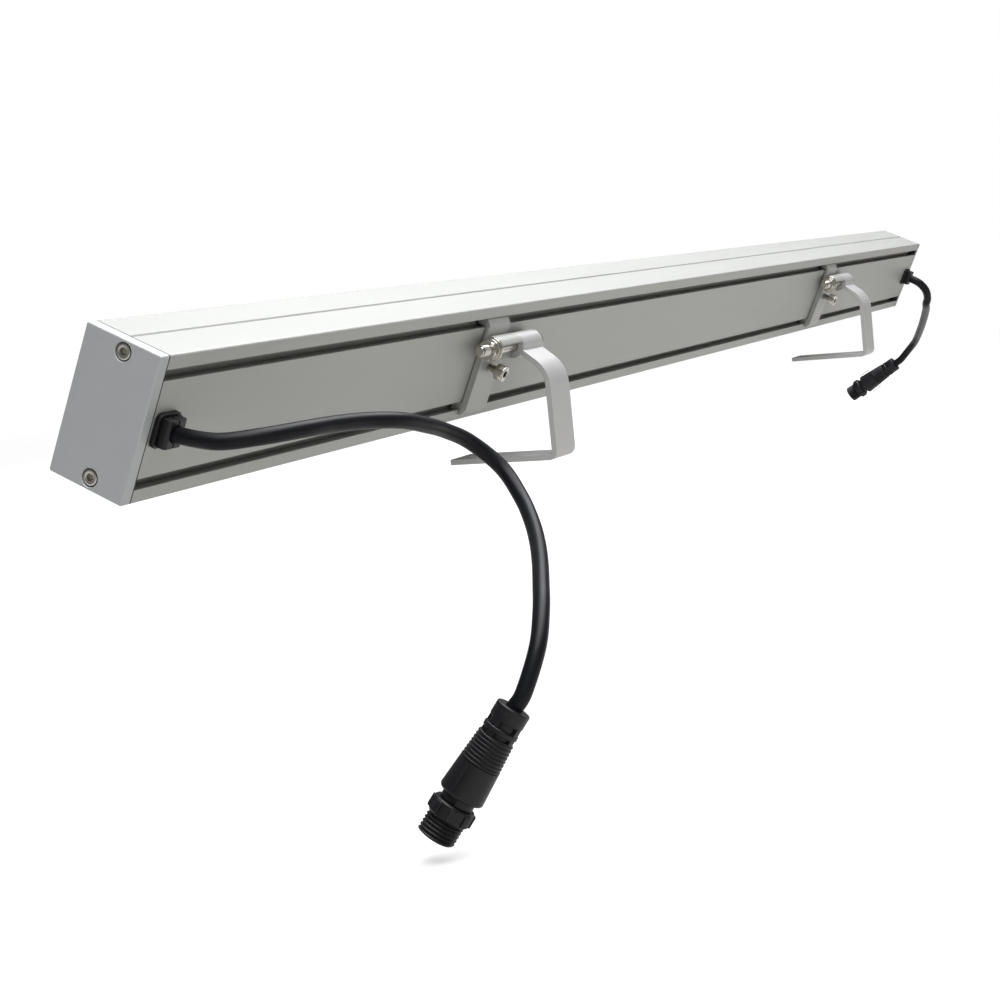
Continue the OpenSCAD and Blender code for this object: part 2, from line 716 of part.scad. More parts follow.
module plug_ring() {
    bore_radius = insert_diameter / 2 + running_play;
    snap_radius = snap_diameter / 2 + slide_gap;
    snap_floor = ring_end - snap_inset - snap_length - slide_gap;
    thread_chamfer = thread_length / 12;
    rotate_extrude($fn = round_facets)
        polygon([[bore_radius, ring_start], [grip_diameter / 2 - smooth_rounding, ring_start],
                 [grip_diameter / 2, ring_start + smooth_rounding / 2],
                 [grip_diameter / 2, thread_start - bar_margin],
                 [grip_diameter / 2 - bar_margin, thread_start], [thread_diameter / 2, thread_start], [thread_diameter / 2, ring_end - thread_chamfer],
                 [thread_diameter / 2 - thread_chamfer, ring_end], [snap_radius, ring_end],
                 [snap_radius, snap_floor], [bore_radius, snap_floor]]);
    intersection() {
        translate([0, 0, ring_start])
            cylinder(h = grip_length, d = bar_diameter, $fn = round_facets);
        for (i = [0 : bar_count - 1]) rotate(i * 360 / bar_count)
            translate([thread_diameter / 2, -bar_width / 2, ring_start + bar_margin])
                cube([bar_diameter / 2, bar_width, grip_length - 2 * bar_margin]);
    }
}

module plug_pins() {
    floor_place = ring_end - insert_inset - well_depth;
    for (i = [0 : pin_count - 1]) rotate(i * 360 / pin_count)
        translate([pin_circle / 2, 0, floor_place])
            cylinder(h = pin_length, d = pin_diameter, $fn = fine_facets / 2);
}

module plug_seal()
    translate([0, 0, ring_end - insert_inset])
        difference() {
            cylinder(h = plug_seal_thickness, d = well_diameter + 2 * plug_seal_wall, $fn = round_facets);
            translate([0, 0, -overrun])
                cylinder(h = plug_seal_thickness + 2 * overrun, d = well_diameter, $fn = round_facets);
        }

module at_near_plug() from_near_gland() translate(near_plug_place) rotate(near_plug_turn) children();
module at_far_plug() from_far_gland() translate(far_plug_place) rotate(far_plug_turn) children();

module near_plug_body() at_near_plug() color(black) plug_body();
module near_plug_pins() at_near_plug() color([0.85, 0.7, 0.35]) plug_pins();
module near_plug_seal() at_near_plug() color([0.6, 0.25, 0.15]) plug_seal();
module near_plug_ring() at_near_plug() color(black) plug_ring();
module far_plug_body() at_far_plug() color(black) plug_body();
module far_plug_pins() at_far_plug() color([0.85, 0.7, 0.35]) plug_pins();
module far_plug_seal() at_far_plug() color([0.6, 0.25, 0.15]) plug_seal();
module far_plug_ring() at_far_plug() color(black) plug_ring();

// Clamps: a short extrusion that hooks into both back slots and carries the pivot barrel

module on_pivot() translate([0, -pivot_offset, pivot_z]) facing_x() children();

module clamp_section() {
    back = -slide_gap;
    front = back - plate_thickness;
    upper_front = back - plate_upper_thickness;
    low = slot_heights[0];
    high = slot_heights[1];
    neck = slot_mouth / 2 - slide_gap;
    hook_front = slot_lip + slide_gap;
    tip = low - slot_mouth / 2 - clamp_tip_drop;
    polygon([[front + clamp_chamfer_depth, tip], [front, tip + clamp_chamfer_height],
             [front, pivot_z], [upper_front, pivot_z],
             [upper_front, high + neck - clamp_crease_drop], [0, high + neck],
             [hook_front, high + neck], [hook_front, high + neck + hook_reach],
             [hook_depth, high + neck + hook_reach], [hook_depth, high - neck],
             [back, high - neck], [back, low + neck], [hook_depth, low + neck],
             [hook_depth, low - neck - hook_reach], [hook_front, low - neck - hook_reach],
             [hook_front, low - neck], [back, low - neck], [back, tip]]);
}

module clamp()
    difference() {
        union() {
            along_x(clamp_width) clamp_section();
            on_pivot() cylinder(h = clamp_width, d = barrel_diameter, $fn = round_facets);
        }
        translate([-overrun, -pivot_offset, pivot_z]) {
            facing_x() cylinder(h = clamp_width + 2 * overrun, d = pivot_diameter + 2 * cord_play,
                                $fn = round_facets);
            along_x(clamp_width + 2 * overrun)
                polygon(concat([[0, 0]],
                    [for (angle = barrel_opening) barrel_diameter * [-cos(angle), sin(angle)]]));
        }
        translate([clamp_width / 2, overrun, mid_height - clamp_screw_drop]) facing_back()
            cylinder(h = plate_thickness + slide_gap + 2 * overrun,
                     d = clamp_screw_diameter + 2 * thread_play, $fn = round_facets);
    }

module clamp_screw()
    translate([clamp_width / 2, 0, mid_height - clamp_screw_drop]) facing_back() {
        head_start = slide_gap + plate_thickness + clamp_screw_stand;
        translate([0, 0, slide_gap])
            cylinder(h = plate_thickness + clamp_screw_stand, d = clamp_screw_diameter, $fn = round_facets);
        translate([0, 0, head_start])
            difference() {
                cylinder(h = clamp_head_height, d = clamp_head_diameter, $fn = round_facets);
                translate([0, 0, clamp_head_height - clamp_socket_depth])
                    hexagon(clamp_socket_width, clamp_socket_depth + overrun);
            }
    }

washer_stack = washer_thickness + spring_thickness;
bolt_grip = clamp_width + bracket_width + 2 * slide_gap;

module pivot_bolt() on_pivot() {
    tip = -washer_stack - nut_height - pivot_tip_length;
    head_radius = pivot_head_diameter / 2;
    rotate_extrude($fn = round_facets)
        polygon([[0, tip], [pivot_diameter / 2 - pivot_tip_chamfer, tip],
                 [pivot_diameter / 2, tip + pivot_tip_chamfer], [pivot_diameter / 2, bolt_grip],
                 [head_radius, bolt_grip],
                 for (angle = [20 : 20 : 60])
                    [head_radius * cos(angle), bolt_grip + pivot_head_height * sin(angle) / sin(60)],
                 [pivot_socket_width * 0.6, bolt_grip + pivot_head_height],
                 [pivot_socket_width * 0.6, bolt_grip + pivot_head_height - pivot_socket_depth],
                 [0, bolt_grip + pivot_head_height - pivot_socket_depth]]);
}

module flat_washer()
    difference() {
        cylinder(h = washer_thickness, d = washer_diameter, $fn = round_facets);
        translate([0, 0, -overrun])
            cylinder(h = washer_thickness + 2 * overrun, d = pivot_diameter + 2 * cord_play,
                     $fn = round_facets);
    }

module spring_washer()
    difference() {
        cylinder(h = spring_thickness, d = nut_width + spring_thickness, $fn = round_facets);
        translate([0, 0, -overrun])
            cylinder(h = spring_thickness + 2 * overrun, d = pivot_diameter + 2 * cord_play,
                     $fn = round_facets);
        translate([0, -spring_split / 2, -overrun])
            cube([washer_diameter, spring_split, spring_thickness + 2 * overrun]);
    }

module pivot_washers() on_pivot() {
    translate([0, 0, -washer_thickness]) flat_washer();
    translate([0, 0, -washer_stack]) spring_washer();
}

module pivot_nut() on_pivot()
    translate([0, 0, -washer_stack - nut_height])
        difference() {
            intersection() {
                hexagon(nut_width, nut_height);
                cylinder(h = nut_height, d1 = nut_width * 1.04, d2 = nut_width * 1.3, $fn = round_facets);
            }
            translate([0, 0, -overrun])
                cylinder(h = nut_height + 2 * overrun, d = pivot_diameter + 2 * thread_play,
                         $fn = round_facets);
        }

module at_near_clamp() in_light() translate([clamp_place, 0, 0]) children();
module at_far_clamp() in_light() translate([clamp_place + clamp_spacing, 0, 0]) children();

module near_clamp() at_near_clamp() color(aluminium) clamp();
module near_clamp_screw() at_near_clamp() color(steel) clamp_screw();
module near_pivot_bolt() at_near_clamp() color(steel) pivot_bolt();
module near_pivot_washers() at_near_clamp() color(steel) pivot_washers();
module near_pivot_nut() at_near_clamp() color(steel) pivot_nut();
module far_clamp() at_far_clamp() color(aluminium) clamp();
module far_clamp_screw() at_far_clamp() color(steel) clamp_screw();
module far_pivot_bolt() at_far_clamp() color(steel) pivot_bolt();
module far_pivot_washers() at_far_clamp() color(steel) pivot_washers();
module far_pivot_nut() at_far_clamp() color(steel) pivot_nut();

// Brackets: one strip section with foot, heel, leg, bend and arm, ending in the knuckle

// Part of a ring of the strip's thickness, from one angle to another
module strip_arc(outer, from, to)
    intersection() {
        difference() {
            circle(outer, $fn = round_facets);
            circle(outer - strip_thickness, $fn = round_facets);
        }
        polygon([[0, 0], 2 * outer * [cos(from), sin(from)],
                 2 * outer * [cos((from + to) / 2), sin((from + to) / 2)],
                 2 * outer * [cos(to), sin(to)]]);
    }

// The section is drawn round the pivot axis, with the wall below it
module bracket_section() {
    wall = -pivot_height;
    heel_x = -leg_reach + heel_radius;
    difference() {
        union() {
            translate([heel_x, wall])
                square([foot_hole_reach + foot_tip_reach - heel_x, strip_thickness]);
            translate([heel_x, wall + heel_radius]) strip_arc(heel_radius, 180, 270);
            translate([-leg_reach, wall + heel_radius])
                square([strip_thickness, bend_centre.y - wall - heel_radius]);
            translate(bend_centre) strip_arc(bend_radius, 180 - arm_turn, 180);
            rotate(180 + arm_rise)
                translate([0, -strip_thickness / 2])
                    square([norm(bend_centre + bend_middle * [-cos(arm_turn), sin(arm_turn)]),
                            strip_thickness]);
            circle(d = barrel_diameter, $fn = round_facets);
        }
        circle(d = pivot_diameter + 2 * running_play, $fn = round_facets);
    }
}

module bracket()
    difference() {
        translate([-bracket_width / 2, -foot_hole_reach, pivot_height])
            along_x(bracket_width) bracket_section();
        translate([0, 0, -overrun])
            cylinder(h = strip_thickness + 2 * overrun, d = foot_hole_diameter, $fn = round_facets);
    }

module near_bracket() color(aluminium) translate([-clamp_spacing / 2, 0, 0]) bracket();
module far_bracket() color(aluminium) translate([clamp_spacing / 2, 0, 0]) bracket();

housing();
near_end_cap();
far_end_cap();
near_cap_gasket();
far_cap_gasket();
near_cap_screws();
far_cap_screws();
front_glass();
glass_seal();
led_board();
led_chips();
lenses();
board_screws();
near_terminal();
far_terminal();
bus_wires();
near_gland_flange();
far_gland_flange();
near_gland_halves();
far_gland_halves();
near_cord();
far_cord();
near_plug_body();
near_plug_pins();
near_plug_seal();
near_plug_ring();
far_plug_body();
far_plug_pins();
far_plug_seal();
far_plug_ring();
near_clamp();
near_clamp_screw();
near_pivot_bolt();
near_pivot_washers();
near_pivot_nut();
far_clamp();
far_clamp_screw();
far_pivot_bolt();
far_pivot_washers();
far_pivot_nut();
near_bracket();
far_bracket();
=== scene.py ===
# %% [markdown]
# # Outdoor wall washer light
# The light is a one metre aluminium extrusion with a glass front. Two clamps slide in slots in
# its back, and each clamp tilts on a bracket that is screwed to the wall. A black lead with a
# round plug leaves each end.
# The solids come from the CAD frame at their real size, in metres. This script gives them
# their finishes, and builds the pieces that need finer shapes than the solids have.

# %% Load the frame
from math import cos, pi, radians, sin, tau
import bpy
from mathutils import Matrix, Vector


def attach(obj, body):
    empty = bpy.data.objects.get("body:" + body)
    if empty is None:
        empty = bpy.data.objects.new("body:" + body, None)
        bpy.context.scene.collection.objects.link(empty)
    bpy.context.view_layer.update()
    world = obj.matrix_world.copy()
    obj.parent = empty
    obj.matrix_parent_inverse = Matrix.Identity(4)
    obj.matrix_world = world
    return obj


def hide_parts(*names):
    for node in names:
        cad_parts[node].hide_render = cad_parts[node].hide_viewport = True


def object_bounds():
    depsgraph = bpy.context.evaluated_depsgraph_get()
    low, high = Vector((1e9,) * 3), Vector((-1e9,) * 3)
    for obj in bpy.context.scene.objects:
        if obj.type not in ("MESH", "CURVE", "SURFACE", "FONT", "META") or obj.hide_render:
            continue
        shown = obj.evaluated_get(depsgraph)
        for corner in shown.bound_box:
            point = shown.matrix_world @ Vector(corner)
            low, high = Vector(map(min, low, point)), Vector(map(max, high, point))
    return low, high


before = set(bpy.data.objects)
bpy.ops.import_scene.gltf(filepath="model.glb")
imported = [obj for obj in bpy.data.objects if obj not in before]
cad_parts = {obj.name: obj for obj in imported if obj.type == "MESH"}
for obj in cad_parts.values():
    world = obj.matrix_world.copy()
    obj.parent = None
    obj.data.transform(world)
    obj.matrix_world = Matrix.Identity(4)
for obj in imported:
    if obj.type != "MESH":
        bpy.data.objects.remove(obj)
cad_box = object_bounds()
print("CAD box", [[round(v, 4) for v in corner] for corner in cad_box])

# %% [markdown]
# ## Camera
# The photograph was taken close to one end, a little above the light, so the far end looks
# much smaller. A camera could be moved by eye until the picture fits. Here its place and lens
# were worked out from the straight edges of the body, which all run along one line in space.

# %% Camera
camera = bpy.data.objects.new("photo_camera", bpy.data.cameras.new("photo_camera"))
bpy.context.collection.objects.link(camera)
camera.location = (-1.01114, -0.38723, 0.08598)
camera.rotation_euler = (radians(82.95), radians(5.835), radians(-64.288))
camera.data.lens = 68.707
camera.data.sensor_width = 36
camera.data.clip_start = 0.02
bpy.context.scene.camera = camera
print("camera", [round(v, 3) for v in camera.location], "lens", round(camera.data.lens, 1))

# %% [markdown]
# ## The light's own frame
# The body leans back on its brackets. Its pieces are easier to model as if it lay straight:
# X along it from one end, Y from its back to its glass, Z from its bottom to its top. This
# matrix then leans a finished mesh back about the line of the pivot bolts, and puts it where
# the light hangs. Lengths are written in millimetres and multiplied by `mm`, as a drawing
# would give them.

# %% The light's frame
mm = 0.001
LEAN = radians(26.3)
BODY_LENGTH, BODY_DEPTH, BODY_HEIGHT = 1000 * mm, 30 * mm, 52 * mm
PIVOT_ON_LIGHT, PIVOT_IN_FRAME = Vector((522.3, -5.9, 35.4)) * mm, Vector((0, -30.4, 50.7)) * mm
LIGHT = (Matrix.Translation(PIVOT_IN_FRAME) @ Matrix.Rotation(LEAN, 4, "X")
         @ Matrix.Translation(-PIVOT_ON_LIGHT))
FAR_END = Matrix.Translation((BODY_LENGTH, 0, 0)) @ Matrix.Diagonal((-1, 1, 1, 1))
GLAND_EXITS = {"near": Vector((12, -5.3, 26)) * mm, "far": Vector((988, -5.3, 26)) * mm}
print("near gland", [round(v, 4) for v in LIGHT @ GLAND_EXITS["near"]])

# %% [markdown]
# ## Cords
# Each cord is a round rubber sheath, 5.8 mm thick, as limp as a thick shoelace. It leaves its
# gland straight, bends round, and hangs free to its plug. A simulation could find such a
# curve, but the photograph shows the whole cord, so the route is given by points along it, in
# millimetres from the middle of its gland. Each plug has a place too, and two turns that point
# it along the end of its cord.

# %% Cord routes
CORD_DIAMETER = 5.8 * mm
ROUTES = {
    "near": [(0.7, -14.5, 3.8), (8.7, -25.2, 9.1), (22.1, -31.3, 12.4), (37, -34, 13.5),
             (51.4, -37.8, 14.5), (65.3, -43.4, 15.2), (79.8, -46, 12.8), (94.6, -47.4, 9.3),
             (107.6, -52.8, 5.2), (113.1, -65.2, -0.3), (107.4, -78.3, -5.5),
             (96.8, -88.8, -8.2), (84.8, -97.5, -9.9), (72.2, -105.2, -11.4),
             (59.2, -112.6, -13.5), (46.5, -120.1, -17.1), (35.4, -126.7, -24.2)],
    "far": [(1.3, -7.6, -1), (4.4, -13.4, -4.6), (9.4, -16.1, -10.3), (15.1, -15.7, -15.9),
            (32.1, -13.8, -21.6), (50, -11, -27.9), (66.6, -8.3, -33.6), (83.4, -5.4, -39.5),
            (101.2, -2.3, -45.7), (119, 1, -52), (136.4, 4.3, -58.4), (152.9, 7.5, -64.7),
            (167, 10.7, -72.3), (176.3, 15.3, -83.5)],
}
PLUG_PLACES = {"near": Vector((26, -129.3, -42.4)) * mm, "far": Vector((177, 21.5, -97.5)) * mm}
PLUG_TURNS = {"near": (radians(162.3), radians(156.3)), "far": (radians(147), radians(88))}
print("route points", {end: len(route) for end, route in ROUTES.items()})

# %% [markdown]
# ### A smooth path
# Straight lines between the points would give the cord corners. A Catmull-Rom curve passes
# through every point and has none. The path starts inside the gland and ends inside the plug,
# so that no gap shows at either end.

# %% Cord path
SEAT_IN_GLAND, FLANGE_FACE, SEAT_IN_PLUG, LEAD_TO_PLUG = 3.2 * mm, 1.75 * mm, 3 * mm, 6 * mm


def plug_matrix(end):
    """Where a plug that was modelled along Z from the origin lies in the CAD frame."""
    tilt, turn = PLUG_TURNS[end]
    place = Matrix.Translation(GLAND_EXITS[end] + PLUG_PLACES[end])
    return LIGHT @ place @ Matrix.Rotation(turn, 4, "Z") @ Matrix.Rotation(tilt, 4, "Y")


def catmull_rom(a, b, c, d, t):
    """A place between b and c. t runs from 0 to 1."""
    return (2 * b + (c - a) * t + (2 * a - 5 * b + 4 * c - d) * t ** 2
            + (3 * b - a - 3 * c + d) * t ** 3) / 2


def cord_path(end, steps=10):
    """Points along a cord in the CAD frame, from inside its gland to inside its plug."""
    plug = plug_matrix(end)
    seat = [Vector((0, depth, 0)) for depth in (SEAT_IN_GLAND, FLANGE_FACE, 0)]
    route = [Vector(place) * mm for place in ROUTES[end]]
    knots = ([LIGHT @ (GLAND_EXITS[end] + place) for place in seat + route]
             + [plug @ Vector((0, 0, z)) for z in (-LEAD_TO_PLUG, 0, SEAT_IN_PLUG)])
    knots = [2 * knots[0] - knots[1]] + knots + [2 * knots[-1] - knots[-2]]
    path = [catmull_rom(*knots[i:i + 4], step / steps)
            for i in range(len(knots) - 3) for step in range(steps)]
    return path + [knots[-2]]


cord_paths = {end: cord_path(end) for end in ROUTES}

# %% [markdown]
# ### The sheath
# A circle could be extruded along the path, but it twists in the bends. A spline with a round
# bevel makes an even tube by itself. It is then turned into a mesh, because the box round a
# spline adds the radius of its points and comes out far too big.

# %% Cord sheaths
def cord_sheath(end):
    """A cord as one open spline with a round section, made a mesh."""
    path = cord_paths[end]
    data = bpy.data.curves.new(end + "_cord_sheath", "CURVE")
    data.dimensions = "3D"
    data.bevel_depth = CORD_DIAMETER / 2
    data.bevel_resolution = 4
    data.use_fill_caps = True
    spline = data.splines.new("POLY")
    spline.points.add(len(path) - 1)
    for point, place in zip(spline.points, path):
        point.co = (*place, 1)
    spline.use_smooth = True
    piece = bpy.data.objects.new(end + "_cord_sheath", data)
    bpy.context.collection.objects.link(piece)
    bpy.ops.object.select_all(action="DESELECT")
    piece.select_set(True)
    bpy.context.view_layer.objects.active = piece
    bpy.ops.object.convert(target="MESH")
    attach(piece, "light")
    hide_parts(end + "_cord")
    return piece


cords = {end: cord_sheath(end) for end in ROUTES}
print("cord faces", {end: len(cord.data.polygons) for end, cord in cords.items()})

# %% [markdown]
# ## Finishes
# A finish is more than a colour: a coat of powder has grains, an extrusion has fine lines from
# its die, and moulded plastic is a little uneven. Image textures could show that, but they
# need a file and a UV map. Noise on Object coordinates needs neither, and since the pieces are
# in metres its scale is the real size of the grains.
# One helper makes the common part: noise that shades the colour, varies the roughness and
# raises small bumps. Colours are written as they look on screen, 0 to 255.

# %% Helper for finishes
def linear(colour):
    """A screen colour from 0 to 255 as the linear values that a shader takes."""
    shares = [c / 255 for c in colour]
    return tuple(c / 12.92 if c <= 0.04045 else ((c + 0.055) / 1.055) ** 2.4 for c in shares)


def finish(name, colour, roughness, metallic=0.0, grain=900, shade=0.06, uneven=0.05,
           bump=0.1, depth=0.00005, stretch=(1, 1, 1), **sockets):
    """A material with noise in its colour, roughness and height. grain is in bumps a metre."""
    made = bpy.data.materials.new(name)
    made.use_nodes = True
    nodes, links = made.node_tree.nodes, made.node_tree.links
    shader = nodes["Principled BSDF"]
    shader.inputs["Metallic"].default_value = metallic
    for socket, value in sockets.items():
        shader.inputs[socket.replace("_", " ")].default_value = value
    place = nodes.new("ShaderNodeTexCoord")
    mapping = nodes.new("ShaderNodeMapping")
    mapping.inputs["Scale"].default_value = stretch
    links.new(place.outputs["Object"], mapping.inputs["Vector"])

    def noise(scale, detail):
        node = nodes.new("ShaderNodeTexNoise")
        node.inputs["Scale"].default_value = scale
        node.inputs["Detail"].default_value = detail
        links.new(mapping.outputs["Vector"], node.inputs["Vector"])
        return node.outputs["Fac"]

    fine, broad = noise(grain, 3), noise(grain / 12, 2)
    mix = nodes.new("ShaderNodeMix")
    mix.data_type = "RGBA"
    base = linear(colour)
    mix.inputs["A"].default_value = (*[c * (1 - shade) for c in base], 1)
    mix.inputs["B"].default_value = (*[min(1, c * (1 + shade)) for c in base], 1)
    both = nodes.new("ShaderNodeMath")
    both.operation = "MULTIPLY_ADD"
    both.inputs[1].default_value = 0.5
    links.new(fine, both.inputs[0])
    half = nodes.new("ShaderNodeMath")
    half.operation = "MULTIPLY"
    half.inputs[1].default_value = 0.5
    links.new(broad, half.inputs[0])
    links.new(half.outputs["Value"], both.inputs[2])
    links.new(both.outputs["Value"], mix.inputs["Factor"])
    links.new(mix.outputs["Result"], shader.inputs["Base Color"])
    spread = nodes.new("ShaderNodeMapRange")
    spread.inputs["To Min"].default_value = max(0.02, roughness - uneven)
    spread.inputs["To Max"].default_value = min(1, roughness + uneven)
    links.new(broad, spread.inputs["Value"])
    links.new(spread.outputs["Result"], shader.inputs["Roughness"])
    height = nodes.new("ShaderNodeBump")
    height.inputs["Strength"].default_value = bump
    height.inputs["Distance"].default_value = depth
    links.new(fine, height.inputs["Height"])
    links.new(height.outputs["Normal"], shader.inputs["Normal"])
    return made


# %% [markdown]
# ### Metals
# The body is a satin anodised extrusion: its noise is stretched along X, which draws the die
# lines. The end caps have a sanded powder coat, with coarser and higher grains. The clamps and
# brackets are lighter and smoother. The screws are bright stainless steel.
# A full metal shader would mirror the white studio and lose the warm grey, so the anodised
# and coated parts are only partly metallic.

# %% Metal finishes
anodised = finish("anodised_extrusion", (150, 151, 146), 0.5, metallic=0.35, grain=2600, shade=0.05,
                  bump=0.25, depth=0.00006, stretch=(0.08, 1, 1))
powder = finish("sanded_powder_coat", (162, 165, 165), 0.55, metallic=0.2, grain=1500, shade=0.07,
                bump=0.5, depth=0.00012)
clamp_metal = finish("satin_clamp_aluminium", (150, 151, 146), 0.42, metallic=0.4, grain=2600,
                     shade=0.04, bump=0.2, depth=0.00004, stretch=(0.1, 1, 1))
bracket_metal = finish("satin_bracket_aluminium", (163, 163, 161), 0.42, metallic=0.4, grain=2600,
                       shade=0.04, bump=0.2, depth=0.00004, stretch=(0.1, 1, 1))
steel = finish("bright_stainless_steel", (186, 183, 175), 0.24, metallic=1.0, grain=3000, shade=0.05,
               bump=0.08, depth=0.00003)
brass = finish("bright_brass", (205, 172, 96), 0.25, metallic=1.0, grain=3000, shade=0.05,
               bump=0.05, depth=0.00003)
print("metals", len(bpy.data.materials))

# %% [markdown]
# ### Plastics, rubber and glass
# The plugs and glands are moulded in one fine matt black. The cord's sheath is smoother, so it
# takes a soft bluish highlight along its upper side. The glass is clear, and the light's inner
# parts show through it. Real glass lets lamp light through, but a path tracer finds that light
# slowly, so for shadow rays the glass is plainly transparent.

# %% Plastic, rubber and glass finishes
black_plastic = finish("matt_black_moulding", (13, 13, 15), 0.44, grain=2200, shade=0.12, bump=0.2,
                       depth=0.00005, Specular_IOR_Level=0.28)
sheath = finish("satin_cord_sheath", (10, 11, 15), 0.42, grain=1800, shade=0.1, bump=0.06,
                depth=0.00004, IOR=1.25)
seal_rubber = finish("seal_rubber", (34, 34, 36), 0.7, grain=2000, shade=0.1, bump=0.15)
silicone = finish("grey_silicone", (205, 205, 200), 0.45, grain=900, shade=0.05, bump=0.1)
board_white = finish("white_solder_mask", (236, 234, 226), 0.4, grain=1200, shade=0.03, bump=0.06)
terminal_white = finish("white_terminal_moulding", (228, 228, 222), 0.45, grain=1500, shade=0.04)
wire_red = finish("red_wire_insulation", (165, 42, 34), 0.35, grain=1500, shade=0.06)
emitter = finish("yellow_phosphor", (232, 200, 84), 0.55, grain=4000, shade=0.08)


def clear(name, colour, roughness):
    """A clear material that lets lamp light through to what lies behind it."""
    made = finish(name, colour, roughness, grain=300, shade=0.01, uneven=0.01, bump=0.01,
                  Transmission_Weight=1.0, IOR=1.49)
    nodes, links = made.node_tree.nodes, made.node_tree.links
    rays, through = nodes.new("ShaderNodeLightPath"), nodes.new("ShaderNodeBsdfTransparent")
    through.inputs["Color"].default_value = (*linear(colour), 1)
    mix = nodes.new("ShaderNodeMixShader")
    links.new(rays.outputs["Is Shadow Ray"], mix.inputs["Fac"])
    links.new(nodes["Principled BSDF"].outputs["BSDF"], mix.inputs[1])
    links.new(through.outputs["BSDF"], mix.inputs[2])
    links.new(mix.outputs["Shader"], nodes["Material Output"].inputs["Surface"])
    return made


clear_glass = clear("clear_front_glass", (238, 246, 246), 0.03)
lens_plastic = clear("clear_lens_moulding", (246, 250, 252), 0.05)
print("finishes", len(bpy.data.materials))
for end, cord in cords.items():
    cord.data.materials.append(sheath)

# %% [markdown]
# ## Modelling helpers
# Most pieces start as a primitive and are shaped in edit mode, as by hand. An operator works
# on whatever is selected, so each helper first clears the selection. `pick` selects faces or
# edges by where they are, and `settle` puts a finished piece in its place.

# %% Helpers for edit mode
def deselect():
    """Leaves edit mode and selects nothing."""
    if bpy.context.object and bpy.context.object.mode != "OBJECT":
        bpy.ops.object.mode_set(mode="OBJECT")
    bpy.ops.object.select_all(action="DESELECT")


def only(obj):
    """Makes obj the one selected and active object."""
    deselect()
    obj.select_set(True)
    bpy.context.view_layer.objects.active = obj
    return obj


def edit(kind="VERT"):
    """Enters edit mode to work on vertices, edges or faces."""
    bpy.ops.object.mode_set(mode="EDIT")
    bpy.ops.mesh.select_mode(type=kind)


def leave():
    """Leaves edit mode and gives back the active object."""
    bpy.ops.object.mode_set(mode="OBJECT")
    return bpy.context.object


def pick(kind, test):
    """Selects the active mesh's faces or edges that pass a test, and stays in edit mode."""
    edit(kind)
    bpy.ops.mesh.select_all(action="DESELECT")
    mesh = leave().data
    if kind == "FACE":
        for face in mesh.polygons:
            face.select = test(face.center, face.normal)
    else:
        for line in mesh.edges:
            line.select = test(*[mesh.vertices[i].co for i in line.vertices])
    edit(kind)


def outwards():
    """Merges doubles and turns all faces of the active mesh outwards."""
    edit()
    bpy.ops.mesh.select_all(action="SELECT")
    bpy.ops.mesh.remove_doubles(threshold=1e-6)
    bpy.ops.mesh.normals_make_consistent(inside=False)
    return leave()


def block(size, place, turn=(0, 0, 0)):
    """A box of that size whose middle is at place, with its place in its mesh."""
    deselect()
    bpy.ops.mesh.primitive_cube_add(size=1, location=place, rotation=turn)
    obj = bpy.context.object
    obj.scale = size
    bpy.ops.object.transform_apply(location=True, rotation=True, scale=True)
    return obj


def soften(obj, width, segments=2, sharp=30):
    """Rounds every sharp edge a little, so that it catches the light."""
    only(obj)
    rounding = obj.modifiers.new("Rounding", "BEVEL")
    rounding.width, rounding.segments = width, segments
    rounding.limit_method, rounding.angle_limit = "ANGLE", radians(sharp)
    bpy.ops.object.modifier_apply(modifier="Rounding")
    return obj


def smooth(obj, angle=40):
    """Shades the curved faces smooth, and keeps the flat ones flat."""
    only(obj)
    bpy.ops.object.shade_smooth_by_angle(angle=radians(angle))
    weighting = obj.modifiers.new("Weighting", "WEIGHTED_NORMAL")
    weighting.keep_sharp = True
    bpy.ops.object.modifier_apply(modifier="Weighting")
    return obj


def cut(obj, *tools):
    """Cuts the tools out of obj and removes them."""
    for tool in tools:
        only(obj)
        cutting = obj.modifiers.new("Cutting", "BOOLEAN")
        cutting.operation, cutting.solver, cutting.object = "DIFFERENCE", "EXACT", tool
        bpy.ops.object.modifier_apply(modifier="Cutting")
        bpy.data.objects.remove(tool)
    return obj


def joined(*objs):
    """Joins pieces into the first one."""
    deselect()
    for obj in objs:
        obj.select_set(True)
    bpy.context.view_layer.objects.active = objs[0]
    if len(objs) > 1:
        bpy.ops.object.join()
    return objs[0]


def copied(obj, matrix=Matrix()):
    """A copy with its own mesh, moved by a matrix."""
    twin = bpy.data.objects.new(obj.name, obj.data.copy())
    bpy.context.collection.objects.link(twin)
    twin.data.transform(matrix)
    if matrix.determinant() < 0:
        twin.data.flip_normals()
    return twin


def settle(obj, name, matrix, material, body, slot, *nodes):
    """Names a piece, moves its mesh to its place, paints it and ties it to its body."""
    obj.name = obj.data.name = name
    obj.data.transform(matrix)
    if matrix.determinant() < 0:
        obj.data.flip_normals()
    obj.data.materials.clear()
    obj.data.materials.append(material)
    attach(obj, body)
    if nodes:
        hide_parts(*nodes)
    print(name, "faces", len(obj.data.polygons))
    return obj


# %% [markdown]
# ### Turned pieces and threads
# Screws, washers and plugs are round. A lathe cuts them from the outside; in Blender a circle
# is extruded ring by ring along its profile, which gives even faces. A thread is one tooth
# swept round and up by the Screw modifier, then cut flat at both ends with bisect.

